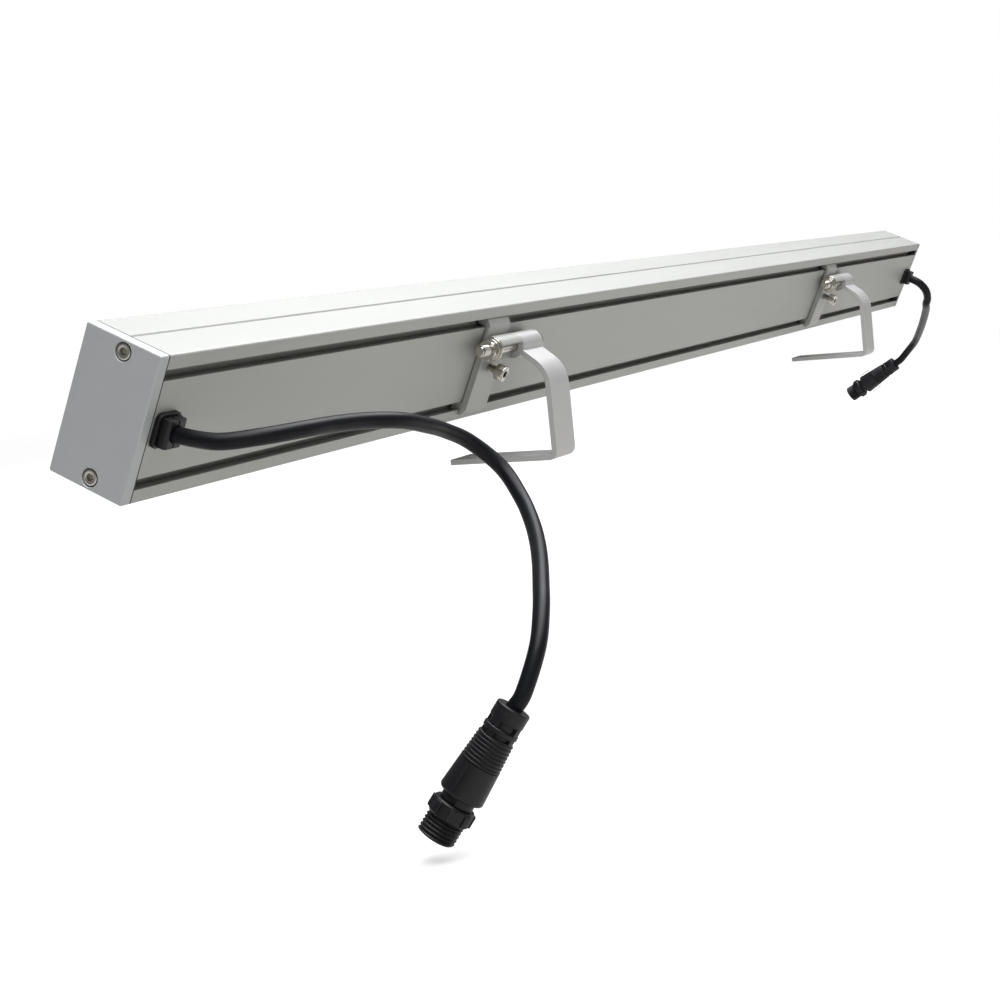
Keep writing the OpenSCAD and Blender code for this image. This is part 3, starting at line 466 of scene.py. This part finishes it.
# %% Helpers for turned pieces
def turned(profile, sides=48, hollow=False):
    """Extrudes a circle through rings of (radius, height). A hollow one ends where it began."""
    deselect()
    radius, height = profile[0]
    bpy.ops.mesh.primitive_circle_add(vertices=sides, radius=radius, location=(0, 0, 0))
    obj = bpy.context.object
    edit()
    bpy.ops.mesh.select_all(action="SELECT")
    bpy.ops.transform.translate(value=(0, 0, height))
    if not hollow:
        # Closes the first ring with a face, and goes on from a copy of the ring without one.
        bpy.ops.mesh.edge_face_add()
        bpy.ops.mesh.duplicate()
        bpy.ops.mesh.delete(type="ONLY_FACE")
        bpy.ops.mesh.select_all(action="DESELECT")
        leave()
        for vertex in obj.data.vertices[sides:]:
            vertex.select = True
        edit()
    for next_radius, next_height in profile[1:]:
        step = (0, 0, next_height - height)
        bpy.ops.mesh.extrude_region_move(TRANSFORM_OT_translate={"value": step})
        if next_radius != radius:
            share = next_radius / radius
            bpy.ops.transform.resize(value=(share, share, 1), center_override=(0, 0, next_height))
        radius, height = next_radius, next_height
    if not hollow:
        bpy.ops.mesh.edge_face_add()
    leave()
    return outwards()


def thread(radius, depth, pitch, start, length, sides=32):
    """A threaded rod from start up Z, with flat ends."""
    deselect()
    bpy.ops.mesh.primitive_plane_add(size=1, location=(0, 0, 0))
    obj = bpy.context.object
    edit()
    bpy.ops.mesh.select_all(action="SELECT")
    bpy.ops.mesh.merge(type="CENTER")
    root = radius - depth
    steps = [(root, 0), (radius, 0.4), (radius, 0.55), (root, 0.95), (root, 1)]
    bpy.ops.transform.translate(value=(root, 0, start - pitch))
    for (r0, s0), (r1, s1) in zip(steps, steps[1:]):
        bpy.ops.mesh.extrude_region_move(
            TRANSFORM_OT_translate={"value": (r1 - r0, 0, (s1 - s0) * pitch)})
    leave()
    sweep = obj.modifiers.new("Sweep", "SCREW")
    sweep.steps = sweep.render_steps = sides
    sweep.screw_offset = pitch
    sweep.iterations = int(length / pitch) + 3
    sweep.use_merge_vertices, sweep.merge_threshold = True, 1e-6
    bpy.ops.object.modifier_apply(modifier="Sweep")
    edit()
    bpy.ops.mesh.select_all(action="SELECT")
    bpy.ops.mesh.remove_doubles(threshold=1e-6)
    for height, way in ((start, -1), (start + length, 1)):
        bpy.ops.mesh.select_all(action="SELECT")
        bpy.ops.mesh.bisect(plane_co=(0, 0, height), plane_no=(0, 0, way), use_fill=True,
                            clear_outer=True)
    leave()
    return outwards()


def hexagon(across, start, length):
    """A six-sided bar along Z."""
    deselect()
    bpy.ops.mesh.primitive_cylinder_add(vertices=6, radius=across / 3 ** 0.5, depth=length,
                                        location=(0, 0, start + length / 2))
    bpy.ops.object.transform_apply(location=True, rotation=True, scale=True)
    return bpy.context.object


def bar(radius, start, length, sides=40):
    """A plain round bar along Z, for cutting holes."""
    deselect()
    bpy.ops.mesh.primitive_cylinder_add(vertices=sides, radius=radius, depth=length,
                                        location=(0, 0, start + length / 2))
    bpy.ops.object.transform_apply(location=True, rotation=True, scale=True)
    return bpy.context.object


ALONG_X = Matrix.Rotation(pi / 2, 4, "Y")
FACING_BACK = Matrix.Rotation(pi / 2, 4, "X")

# %% [markdown]
# ## Body
# The body is cut from a long extrusion with two undercut slots in its back. The solid has the
# right section already, so it isn't modelled again: its mesh is copied, its triangles are
# merged into whole faces, and its edges are rounded by a fifth of a millimetre, as a die
# leaves them. Only those rounded edges catch the light in the photograph.

# %% Body
def skin_of(node, rounding, sharp=30):
    """A CAD node's mesh as one closed skin with rounded edges."""
    obj = bpy.data.objects.new(node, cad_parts[node].data.copy())
    bpy.context.collection.objects.link(obj)
    only(obj)
    edit()
    bpy.ops.mesh.select_all(action="SELECT")
    bpy.ops.mesh.remove_doubles(threshold=1e-6)
    bpy.ops.mesh.dissolve_limited(angle_limit=radians(0.5))
    leave()
    if rounding:
        soften(obj, rounding, sharp=sharp)
    return smooth(obj)


settle(skin_of("housing", 0.2 * mm), "housing_extrusion", Matrix(), anodised, "light",
       "body_aluminium", "housing")

# %% [markdown]
# ## End caps
# A cap is a flat aluminium plate with a sanded coat. Its outer edge is rounded, and its two
# screws sit in counterbores. A box is bevelled on its four long edges, then all round its
# outer face. The counterbores are cut with a turned tool that also chamfers their rim, because
# a bevel after the cut would crease the flat face.

# %% End caps
CAP_THICKNESS, COUNTERBORE, CAP_SCREW_LENGTH = 4.4 * mm, 3.2 * mm, 12 * mm
CAP_SCREW_PLACES = [Vector((0, 14.2, 4.15)) * mm, Vector((0, 14.2, 47.85)) * mm]


def cap_plate():
    """One end plate with rounded edges and two counterbores."""
    size = Vector((CAP_THICKNESS, BODY_DEPTH, BODY_HEIGHT))
    plate = block(size, size / 2)
    pick("EDGE", lambda a, b: abs(a.x - b.x) > CAP_THICKNESS / 2)
    bpy.ops.mesh.bevel(offset=0.8 * mm, segments=4, affect="EDGES")
    pick("EDGE", lambda a, b: a.x < 1e-6 and b.x < 1e-6)
    bpy.ops.mesh.bevel(offset=0.6 * mm, segments=4, affect="EDGES")
    leave()
    tools = []
    for place in CAP_SCREW_PLACES:
        tool = turned([(3.4 * mm, -mm), (3.4 * mm, 0), (3.15 * mm, 0.25 * mm), (3.15 * mm, COUNTERBORE),
                       (1.75 * mm, COUNTERBORE), (1.75 * mm, 6 * mm)])
        tool.data.transform(Matrix.Translation(place) @ ALONG_X)
        tools.append(tool)
    cut(plate, *tools)
    return smooth(plate, 30)


cap = cap_plate()
for end, matrix in (("near", LIGHT), ("far", LIGHT @ FAR_END)):
    settle(copied(cap), end + "_cap_plate", matrix, powder, "light", "cap_coat", end + "_end_cap")
bpy.data.objects.remove(cap)

# %% [markdown]
# ## Socket screws
# The cap screws, the clamp screws and the pivot bolts are all turned from stainless steel.
# Each head is a short turned piece with a rounded rim and a hexagon cut into it, and the shank
# carries a real thread where it shows.

# %% Socket heads
def socket_head(diameter, height, socket, socket_depth, rim=0.35 * mm):
    """A round head that stands up Z, with a hexagon socket in its top."""
    radius = diameter / 2
    head = turned([(radius, 0), (radius, height - rim), (radius - rim * 0.3, height - rim * 0.3),
                   (radius - rim, height), (socket * 0.72, height), (socket * 0.62, height - 0.15 * mm)])
    return cut(head, hexagon(socket, height - socket_depth, socket_depth + mm))


shank = bar(1.45 * mm, -CAP_SCREW_LENGTH, CAP_SCREW_LENGTH + 0.1 * mm, 24)
cap_screw = joined(socket_head(5.5 * mm, 3 * mm, 2.5 * mm, 2.4 * mm), shank)
cap_screw.data.transform(Matrix.Translation((COUNTERBORE, 0, 0)) @ Matrix.Rotation(-pi / 2, 4, "Y"))
cap_screws = joined(*[copied(cap_screw, Matrix.Translation(place)) for place in CAP_SCREW_PLACES])
smooth(cap_screws)
for end, matrix in (("near", LIGHT), ("far", LIGHT @ FAR_END)):
    settle(copied(cap_screws), end + "_cap_socket_screws", matrix, steel, "light", "stainless",
           end + "_cap_screws")
bpy.data.objects.remove(cap_screw)
bpy.data.objects.remove(cap_screws)

# %% [markdown]
# ## Cable glands
# The cord leaves through a moulded gland: a flange with round corners plugs the hole, and two
# half blocks grip the cord, so a thin dark slit shows between them.

# %% Cable glands
for end in GLAND_EXITS:
    settle(skin_of(end + "_gland_flange", 0.45 * mm), end + "_gland_plate", Matrix(), black_plastic,
           "light", "black_plastic", end + "_gland_flange")
    settle(skin_of(end + "_gland_halves", 0.4 * mm), end + "_gland_grip", Matrix(), black_plastic,
           "light", "black_plastic", end + "_gland_halves")

# %% [markdown]
# ## Plugs
# A plug is moulded over the cord's end. From the cord: a collar, four windows round a waist, a
# hoop, eight ribs for the fingers that grow wider, a smooth barrel, a narrow neck, and a
# coupling ring that turns on the contact insert. The profile is turned, and the bars between
# the windows and the pads on the ring are boxes with bevelled edges, placed round the axis.

# %% Lengths along the plug
COLLAR, WINDOW, HOOP, HOOP_GAP = 5 * mm, 2.3 * mm, 1.9 * mm, 1.3 * mm
HOOP_START = COLLAR + WINDOW
RIB_START = HOOP_START + HOOP + HOOP_GAP
RIB_PITCH, RIB_COUNT, RIB_DEPTH = 1.3 * mm, 8, 0.5 * mm
FIRST_RIB, RIB_GROWTH = 6.3 * mm, 0.1 * mm
SMOOTH_START = RIB_START + RIB_COUNT * RIB_PITCH
NECK_START = SMOOTH_START + 12.2 * mm
RING_START = NECK_START + 2.7 * mm
THREAD_START = RING_START + 5.4 * mm
RING_END = THREAD_START + 7.5 * mm
TIP = RING_END - 1.2 * mm
PLUG_SIDES = 64
print("plug length", round(RING_END, 4))

# %% Plug profile
def plug_profile():
    """Rings of (radius, height) from the cord's hole to the bore of the insert."""
    edge, collar, hoop, waist, neck = 0.3 * mm, 5.9 * mm, 6.05 * mm, 4.8 * mm, 5.75 * mm
    hole, line, insert, bore, root = 3 * mm, 1.9 * mm, 4.7 * mm, 3.6 * mm, 1.2 * mm
    barrel_start, barrel_end = 7 * mm, 7.75 * mm
    rings = [(hole, 1.5 * mm), (hole, 0.2 * mm), (hole + edge, 0), (collar - edge, 0), (collar, edge),
             (collar, line - 0.12 * mm), (collar - 0.1 * mm, line), (collar, line + 0.12 * mm),
             (collar, COLLAR - edge), (collar - edge, COLLAR), (waist, COLLAR), (waist, HOOP_START),
             (hoop - edge, HOOP_START), (hoop, HOOP_START + edge), (hoop, HOOP_START + HOOP - edge),
             (hoop - edge, HOOP_START + HOOP), (waist, HOOP_START + HOOP), (waist, RIB_START)]
    for i in range(RIB_COUNT):
        start, radius = RIB_START + i * RIB_PITCH, FIRST_RIB + i * RIB_GROWTH
        rings += [(radius - RIB_DEPTH, start), (radius - RIB_DEPTH, start + 0.28 * RIB_PITCH),
                  (radius - 0.1 * mm, start + 0.4 * RIB_PITCH), (radius, start + 0.5 * RIB_PITCH),
                  (radius, start + 0.8 * RIB_PITCH), (radius - 0.1 * mm, start + 0.9 * RIB_PITCH),
                  (radius - RIB_DEPTH, start + RIB_PITCH)]
    rings += [(barrel_start, SMOOTH_START + 0.1 * mm)]
    rings += [(barrel_end - root * (1 - cos(a)), NECK_START - root * (1 - sin(a)))
              for a in (0, pi / 8, pi / 4, 3 * pi / 8, pi / 2)]
    rings += [(neck, NECK_START), (neck, RING_START - edge), (insert, RING_START - edge),
              (insert, TIP - 0.2 * mm), (insert - 0.2 * mm, TIP), (bore, TIP), (bore, TIP - 8 * mm)]
    return rings


print("rings of the plug", len(plug_profile()))

# %% [markdown]
# ### Bars, seams and notches
# Four bars join the collar, the hoop and the ribs and leave windows between them. The two
# halves of the mould leave a fine seam along the barrel, and two notches are cut in the neck.
# The turns are read from the photograph.

# %% Plug body
WINDOW_COUNT = 4
WINDOW_TURN, SEAM_TURN, NOTCH_TURN = radians(78), radians(163), radians(150)
BARREL_RADIUS, BARREL_TAPER = 7.35 * mm, 0.061


def around(radius, turn, height):
    """A place on a circle round the plug's axis."""
    return radius * cos(turn), radius * sin(turn), height


def window_bar(turn):
    """A bar from the collar to the first rib."""
    size = (3.2 * mm, 2.7 * mm, RIB_START - COLLAR + 0.4 * mm)
    post = block(size, around(4.2 * mm, turn, (COLLAR + RIB_START) / 2), (0, 0, turn))
    return soften(post, 0.2 * mm)


def barrel_seam(turn):
    """A fine ridge along the barrel, leaned to follow its taper."""
    place = around(BARREL_RADIUS, turn, SMOOTH_START + 5.8 * mm)
    seam = block((0.3 * mm, 0.35 * mm, 10 * mm), place)
    seam.data.transform(Matrix.Rotation(-turn, 4, "Z"))
    out = Matrix.Translation((BARREL_RADIUS, 0, 0))
    seam.data.transform(out @ Matrix.Rotation(BARREL_TAPER, 4, "Y") @ out.inverted())
    seam.data.transform(Matrix.Rotation(turn, 4, "Z"))
    return soften(seam, 0.08 * mm)


def plug_body():
    """The plug's moulding without its ring."""
    body = turned(plug_profile(), PLUG_SIDES)
    bars = [window_bar(WINDOW_TURN + i * tau / WINDOW_COUNT) for i in range(WINDOW_COUNT)]
    seams = [barrel_seam(turn) for turn in (SEAM_TURN, SEAM_TURN + pi)]
    neck_middle = (NECK_START + RING_START) / 2
    notches = [block((2 * mm, 1.6 * mm, 1.8 * mm), around(6 * mm, turn, neck_middle), (0, 0, turn))
               for turn in (NOTCH_TURN, NOTCH_TURN + pi)]
    cut(body, *notches)
    return smooth(joined(body, *bars, *seams))


# %% [markdown]
# ### Coupling ring
# The ring has a grip with eight pads and a thread in front of it. It is a piece of its own,
# because it turns on the plug. Its bore leaves a gap of less than a tenth of a millimetre. A
# bump could only paint the thread; a swept tooth also shows in the ring's outline.

# %% Coupling ring
PAD_COUNT = 8
THREAD_RADIUS, THREAD_DEPTH, THREAD_PITCH, THREAD_LENGTH = 6.5 * mm, 0.6 * mm, 1.35 * mm, 7.1 * mm


def coupling_ring():
    """The ring with its grip, pads and thread, along Z."""
    edge, bore, rim, tube, mouth, lip = 0.5 * mm, 4.77 * mm, 7.25 * mm, 5.9 * mm, 5.3 * mm, 0.3 * mm
    mouth_floor = RING_END - 2.6 * mm
    grip = turned([(bore, RING_START), (rim - edge, RING_START), (rim, RING_START + edge),
                   (rim, THREAD_START - edge), (rim - edge, THREAD_START), (tube, THREAD_START),
                   (tube, RING_END - lip), (tube - lip, RING_END), (mouth, RING_END - lip),
                   (mouth, mouth_floor), (bore, mouth_floor), (bore, RING_START)],
                  PLUG_SIDES, hollow=True)
    pads = []
    for i in range(PAD_COUNT):
        pad = block((2 * mm, 2.6 * mm, 4.2 * mm), (6.8 * mm, 0, RING_START + 2.7 * mm))
        soften(pad, 0.35 * mm, 3)
        pad.data.transform(Matrix.Rotation(i * tau / PAD_COUNT, 4, "Z"))
        pads.append(pad)
    screw = thread(THREAD_RADIUS, THREAD_DEPTH, THREAD_PITCH, THREAD_START + 0.2 * mm,
                   THREAD_LENGTH, 48)
    cut(screw, bar(5.7 * mm, THREAD_START - mm, 12 * mm, PLUG_SIDES))
    return smooth(joined(grip, *pads, screw))


# %% [markdown]
# ### Plugs in place
# One plug and one ring are modelled along Z, where turning is easy, and copied to the ends of
# both cords. The plug stays with the light and the ring with its own body, so that it can turn.

# %% Place the plugs
plug, ring = plug_body(), coupling_ring()
plugs, rings = {}, {}
for end in GLAND_EXITS:
    plugs[end] = settle(copied(plug), end + "_plug_moulding", plug_matrix(end), black_plastic, "light",
                        "black_plastic", end + "_plug_body")
    rings[end] = settle(copied(ring), end + "_coupling_ring", plug_matrix(end), black_plastic,
                        end + "_ring", "black_plastic", end + "_plug_ring")
bpy.data.objects.remove(plug)
bpy.data.objects.remove(ring)

# %% [markdown]
# ### The cords
# A cord isn't a rigid piece on the real light; here each sheath is a fixed mesh on the light's body.

# %% [markdown]
# ## Clamps and brackets
# The clamps are cut from their own extrusion, with hooks that fit the slots and a round barrel
# for the pivot bolt. Each bracket is a strip with a knuckle at its top. As with the body, the
# solids are right, so their copies get rounded edges and smooth shading.

# %% Clamps and brackets
for end in GLAND_EXITS:
    settle(skin_of(end + "_clamp", 0.25 * mm), end + "_clamp_extrusion", Matrix(), clamp_metal,
           end + "_clamp", "clamp_aluminium", end + "_clamp")
    settle(skin_of(end + "_bracket", 0.3 * mm), end + "_bracket_strip", Matrix(), bracket_metal,
           end + "_bracket", "clamp_aluminium", end + "_bracket")

# %% [markdown]
# ## Pivot bolts and clamp screws
# A bolt runs through the barrel and the knuckle. Its domed head is on the far side, and on the
# near side it carries a flat washer, a split spring washer and a hexagon nut. A few
# millimetres of its thread, with a chamfered tip, show past the nut. Below it a socket screw
# presses on the body through the clamp plate.

# %% Pivot bolt, washers and nut
PIVOT_ON_CLAMP, SCREW_ON_CLAMP = Vector((0, -5.9, 35.4)) * mm, Vector((10, 0, 25)) * mm
CLAMP_PLACES = {"near": 236 * mm, "far": 748 * mm}
STACK, NUT, BOLT_TIP, GRIP = 2.2 * mm, 3.2 * mm, 6.4 * mm, 40.6 * mm


def washer(radius, start, thickness):
    """A flat ring with softened edges, for a 5 mm bolt."""
    edge = 0.12 * mm
    bore = 2.6 * mm
    return turned([(bore, start), (radius - edge, start), (radius, start + edge),
                   (radius, start + thickness - edge), (radius - edge, start + thickness),
                   (bore, start + thickness), (bore, start)], hollow=True)


def pivot_bolt():
    """The bolt with its domed socket head, its shank and its thread."""
    end = -STACK - NUT - BOLT_TIP
    shank = turned([(1.6 * mm, end), (1.9 * mm, end + 0.1 * mm), (2.1 * mm, end + 0.4 * mm),
                    (2.1 * mm, -STACK), (2.48 * mm, -STACK), (2.48 * mm, GRIP), (5.25 * mm, GRIP),
                    (5.2 * mm, GRIP + 0.9 * mm), (4.7 * mm, GRIP + 1.7 * mm),
                    (3.9 * mm, GRIP + 2.3 * mm), (2.8 * mm, GRIP + 2.7 * mm),
                    (2.1 * mm, GRIP + 2.8 * mm)])
    cut(shank, hexagon(3 * mm, GRIP + 1.2 * mm, 3 * mm))
    screw = thread(2.5 * mm, 0.45 * mm, 0.8 * mm, end + 0.55 * mm, BOLT_TIP + NUT - 0.8 * mm, 24)
    return joined(shank, screw)


def washers():
    """A split spring washer on a flat one."""
    split = washer(4.6 * mm, -STACK, 1.2 * mm)
    cut(split, block((6 * mm, 1.2 * mm, 3 * mm), (4.5 * mm, 0, -STACK + 0.6 * mm), (0.5, 0, 0)))
    return joined(split, washer(5.25 * mm, -mm, mm))


def pivot_nut():
    """A hexagon nut. Its corners are chamfered by what it shares with a turned dome."""
    nut = hexagon(8 * mm, -STACK - NUT, NUT)
    dome = turned([(4.05 * mm, -STACK - NUT), (4.62 * mm, -STACK - NUT + 0.5 * mm),
                   (4.62 * mm, -STACK)])
    only(nut)
    common = nut.modifiers.new("Chamfer", "BOOLEAN")
    common.operation, common.solver, common.object = "INTERSECT", "EXACT", dome
    bpy.ops.object.modifier_apply(modifier="Chamfer")
    bpy.data.objects.remove(dome)
    cut(nut, bar(2.55 * mm, -STACK - NUT - mm, NUT + 2 * mm))
    return soften(nut, 0.08 * mm, 1)


def clamp_screw():
    """A socket screw whose thread shows between its head and the clamp."""
    shank = bar(1.65 * mm, 0.3 * mm, 7 * mm, 24)
    screw = thread(2 * mm, 0.38 * mm, 0.7 * mm, 0.3 * mm, 6.8 * mm, 24)
    head = socket_head(7 * mm, 4 * mm, 3 * mm, 2.2 * mm, 0.5 * mm)
    head.data.transform(Matrix.Translation((0, 0, 7.2 * mm)))
    return joined(shank, screw, head)


# %% [markdown]
# ### Fasteners in place
# Every fastener is modelled once, along Z. Two matrices stand it on a clamp: one along the
# pivot, and one facing back for the socket screw. Both clamps then get their copies, so that a
# change to one screw changes both.

# %% Place the fasteners
at_pivot = Matrix.Translation(PIVOT_ON_CLAMP) @ ALONG_X
at_screw = Matrix.Translation(SCREW_ON_CLAMP) @ FACING_BACK
fasteners = [("pivot_bolt", pivot_bolt(), "pivot_bolt_steel", at_pivot),
             ("pivot_washers", washers(), "pivot_washer_stack", at_pivot),
             ("pivot_nut", pivot_nut(), "pivot_hex_nut", at_pivot),
             ("clamp_screw", clamp_screw(), "clamp_socket_screw", at_screw)]
for node, part, name, on_clamp in fasteners:
    smooth(part)
    for end, place in CLAMP_PLACES.items():
        matrix = LIGHT @ Matrix.Translation((place, 0, 0)) @ on_clamp
        settle(copied(part), end + "_" + name, matrix, steel, end + "_clamp", "stainless",
               end + "_" + node)
    bpy.data.objects.remove(part)

# %% [markdown]
# ## Lenses
# Each lamp has a clear cup-shaped lens over its emitter. One lens is turned, with a well in
# its foot, and copied 24 times.

# %% Lenses
LAMP_COUNT, LAMP_PITCH, BOARD_FRONT, WELL_DEPTH = 24, 40 * mm, 16.1 * mm, 1.9 * mm
lens = turned([(2.6 * mm, 0), (3.78 * mm, 0), (4.7 * mm, 2.6 * mm), (6.02 * mm, 5.5 * mm),
               (7 * mm, 6.7 * mm), (7 * mm, 8.3 * mm), (6.9 * mm, 8.4 * mm), (3.5 * mm, 8.4 * mm),
               (1.8 * mm, 7.6 * mm), (0.2 * mm, 7.2 * mm)], 32)
pick("FACE", lambda middle, normal: middle.z < 1e-5 and normal.z < -0.9)
bpy.ops.mesh.inset(thickness=0.05 * mm)
bpy.ops.mesh.extrude_region_move(TRANSFORM_OT_translate={"value": (0, 0, WELL_DEPTH)})
lens = leave()
outwards()
first = (BODY_LENGTH - (LAMP_COUNT - 1) * LAMP_PITCH) / 2
facing_front = Matrix.Rotation(-pi / 2, 4, "X")
places = [Matrix.Translation((first + i * LAMP_PITCH, BOARD_FRONT, BODY_HEIGHT / 2)) @ facing_front
          for i in range(LAMP_COUNT)]
lens_row = smooth(joined(*[copied(lens, place) for place in places]))
settle(lens_row, "lens_row", LIGHT, lens_plastic, "light", "lens_plastic", "lenses")
bpy.data.objects.remove(lens)

# %% [markdown]
# ## Solids that stay
# The glass, its seal, the lamp board, the wiring and the small parts inside the plugs have the
# right shape as they are. They keep their CAD meshes and only get their finishes.

# %% Finishes for the solids that stay
kept = {"front_glass": clear_glass, "glass_seal": silicone, "led_board": board_white,
        "led_chips": emitter, "board_screws": steel, "bus_wires": wire_red}
for end in GLAND_EXITS:
    kept[end + "_cap_gasket"] = seal_rubber
    kept[end + "_terminal"] = terminal_white
    kept[end + "_plug_pins"] = brass
    kept[end + "_plug_seal"] = seal_rubber
for node, material in kept.items():
    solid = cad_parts[node]
    if not solid.material_slots:
        solid.data.materials.append(material)
    for slot in solid.material_slots:
        slot.material = material
print("solids kept", sorted(kept))

# %% [markdown]
# ## Floor
# The photograph has a plain white ground. The floor lies just below the lowest plug. For the
# camera it is mostly a white glow, with some diffuse white so that it keeps the shadow. The
# glow grows to full white away from the light, so no horizon shows. For other rays the floor
# is grey, so that it throws less light on the back and the undersides.

# %% Floor
FLOOR_GAP, NEAR_GLOW, GLOW_STARTS, GLOW_ENDS = 4 * mm, 0.6, 0.8, 2.2


def white_ground():
    """The floor's material: white glow for the camera, grey for the light that bounces."""
    made = bpy.data.materials.new("white_ground")
    made.use_nodes = True
    nodes, links = made.node_tree.nodes, made.node_tree.links
    nodes.remove(nodes["Principled BSDF"])
    plain, glow, rays = [nodes.new(kind) for kind in
                         ("ShaderNodeBsdfDiffuse", "ShaderNodeEmission", "ShaderNodeLightPath")]
    tone = nodes.new("ShaderNodeMix")
    tone.data_type = "RGBA"
    tone.inputs["A"].default_value = (0.49, 0.48, 0.46, 1)
    tone.inputs["B"].default_value = (0.82, 0.82, 0.82, 1)
    links.new(rays.outputs["Is Camera Ray"], tone.inputs["Factor"])
    links.new(tone.outputs["Result"], plain.inputs["Color"])
    glow.inputs["Color"].default_value = (1, 1, 1, 1)
    place, far = nodes.new("ShaderNodeTexCoord"), nodes.new("ShaderNodeVectorMath")
    far.operation = "LENGTH"
    links.new(place.outputs["Object"], far.inputs[0])
    whiter = nodes.new("ShaderNodeMapRange")
    whiter.interpolation_type = "SMOOTHSTEP"
    for socket, value in (("From Min", GLOW_STARTS), ("From Max", GLOW_ENDS),
                          ("To Min", NEAR_GLOW), ("To Max", 1)):
        whiter.inputs[socket].default_value = value
    links.new(far.outputs["Value"], whiter.inputs["Value"])
    share = nodes.new("ShaderNodeMath")
    share.operation = "MULTIPLY"
    links.new(whiter.outputs["Result"], share.inputs[1])
    links.new(rays.outputs["Is Camera Ray"], share.inputs[0])
    mix = nodes.new("ShaderNodeMixShader")
    links.new(share.outputs["Value"], mix.inputs["Fac"])
    links.new(plain.outputs["BSDF"], mix.inputs[1])
    links.new(glow.outputs["Emission"], mix.inputs[2])
    links.new(mix.outputs["Shader"], nodes["Material Output"].inputs["Surface"])
    return made


deselect()
bpy.ops.mesh.primitive_plane_add(size=30, location=(0, 0, cad_box[0][2] - FLOOR_GAP))
floor = bpy.context.object
floor.name = "floor"
floor.data.materials.append(white_ground())
print("floor height", round(cad_box[0][2] - FLOOR_GAP, 4))

# %% [markdown]
# ## Lamps
# The light in the photograph is soft and comes from nearly straight above: the top faces are
# almost white, and the back is a middle grey. So a wide lamp hangs above, a little towards the
# back of the light, and a weak one beside the camera opens the shadows of the near end.

# %% Lamps
def lamp(name, place, target, size, watts, colour=(1, 1, 1)):
    """A soft box that hangs at place and points at target."""
    data = bpy.data.lights.new(name, "AREA")
    data.color = colour
    data.shape, data.size, data.size_y, data.energy = "RECTANGLE", size[0], size[1], watts
    obj = bpy.data.objects.new(name, data)
    obj.location = place
    obj.rotation_euler = (Vector(target) - Vector(place)).to_track_quat("-Z", "Y").to_euler()
    bpy.context.collection.objects.link(obj)


lamp("top_softbox", (0.05, -0.33, 1.5), (0, 0, 0), (3.2, 1.2), 101, (0.96, 0.96, 1))
lamp("camera_side_softbox", (-1.6, -1.2, 0.5), (0, 0, 0), (1.6, 1.2), 2)
print("lamps", [light.name for light in bpy.data.lights])

# %% [markdown]
# ## Backdrop
# The world is the backdrop and the light of the room at once. The camera sees it white, also
# through glass, while the pieces get a weak light from all sides, so no shadow is black.

# %% Backdrop
ROOM_LIGHT = 0.24
world = bpy.context.scene.world or bpy.data.worlds.new("studio")
bpy.context.scene.world = world
world.use_nodes = True
nodes, links = world.node_tree.nodes, world.node_tree.links
nodes.clear()
out, soft, white, mix, rays = [nodes.new(kind) for kind in (
    "ShaderNodeOutputWorld", "ShaderNodeBackground", "ShaderNodeBackground", "ShaderNodeMixShader",
    "ShaderNodeLightPath")]
soft.inputs["Color"].default_value = (0.96, 0.98, 1, 1)
soft.inputs["Strength"].default_value = ROOM_LIGHT
white.inputs["Color"].default_value = (1, 1, 1, 1)
seen = nodes.new("ShaderNodeMath")
seen.operation = "ADD"
seen.use_clamp = True
links.new(rays.outputs["Is Camera Ray"], seen.inputs[0])
links.new(rays.outputs["Is Transmission Ray"], seen.inputs[1])
links.new(seen.outputs["Value"], mix.inputs["Fac"])
links.new(soft.outputs["Background"], mix.inputs[1])
links.new(white.outputs["Background"], mix.inputs[2])
links.new(mix.outputs["Shader"], out.inputs["Surface"])
bpy.context.scene.view_settings.view_transform = "Standard"
print("backdrop", world.name, "room light", ROOM_LIGHT)

# %% [markdown]
# ## Last update
# The view layer is updated once more.

# %% Update the view layer
bpy.context.view_layer.update()
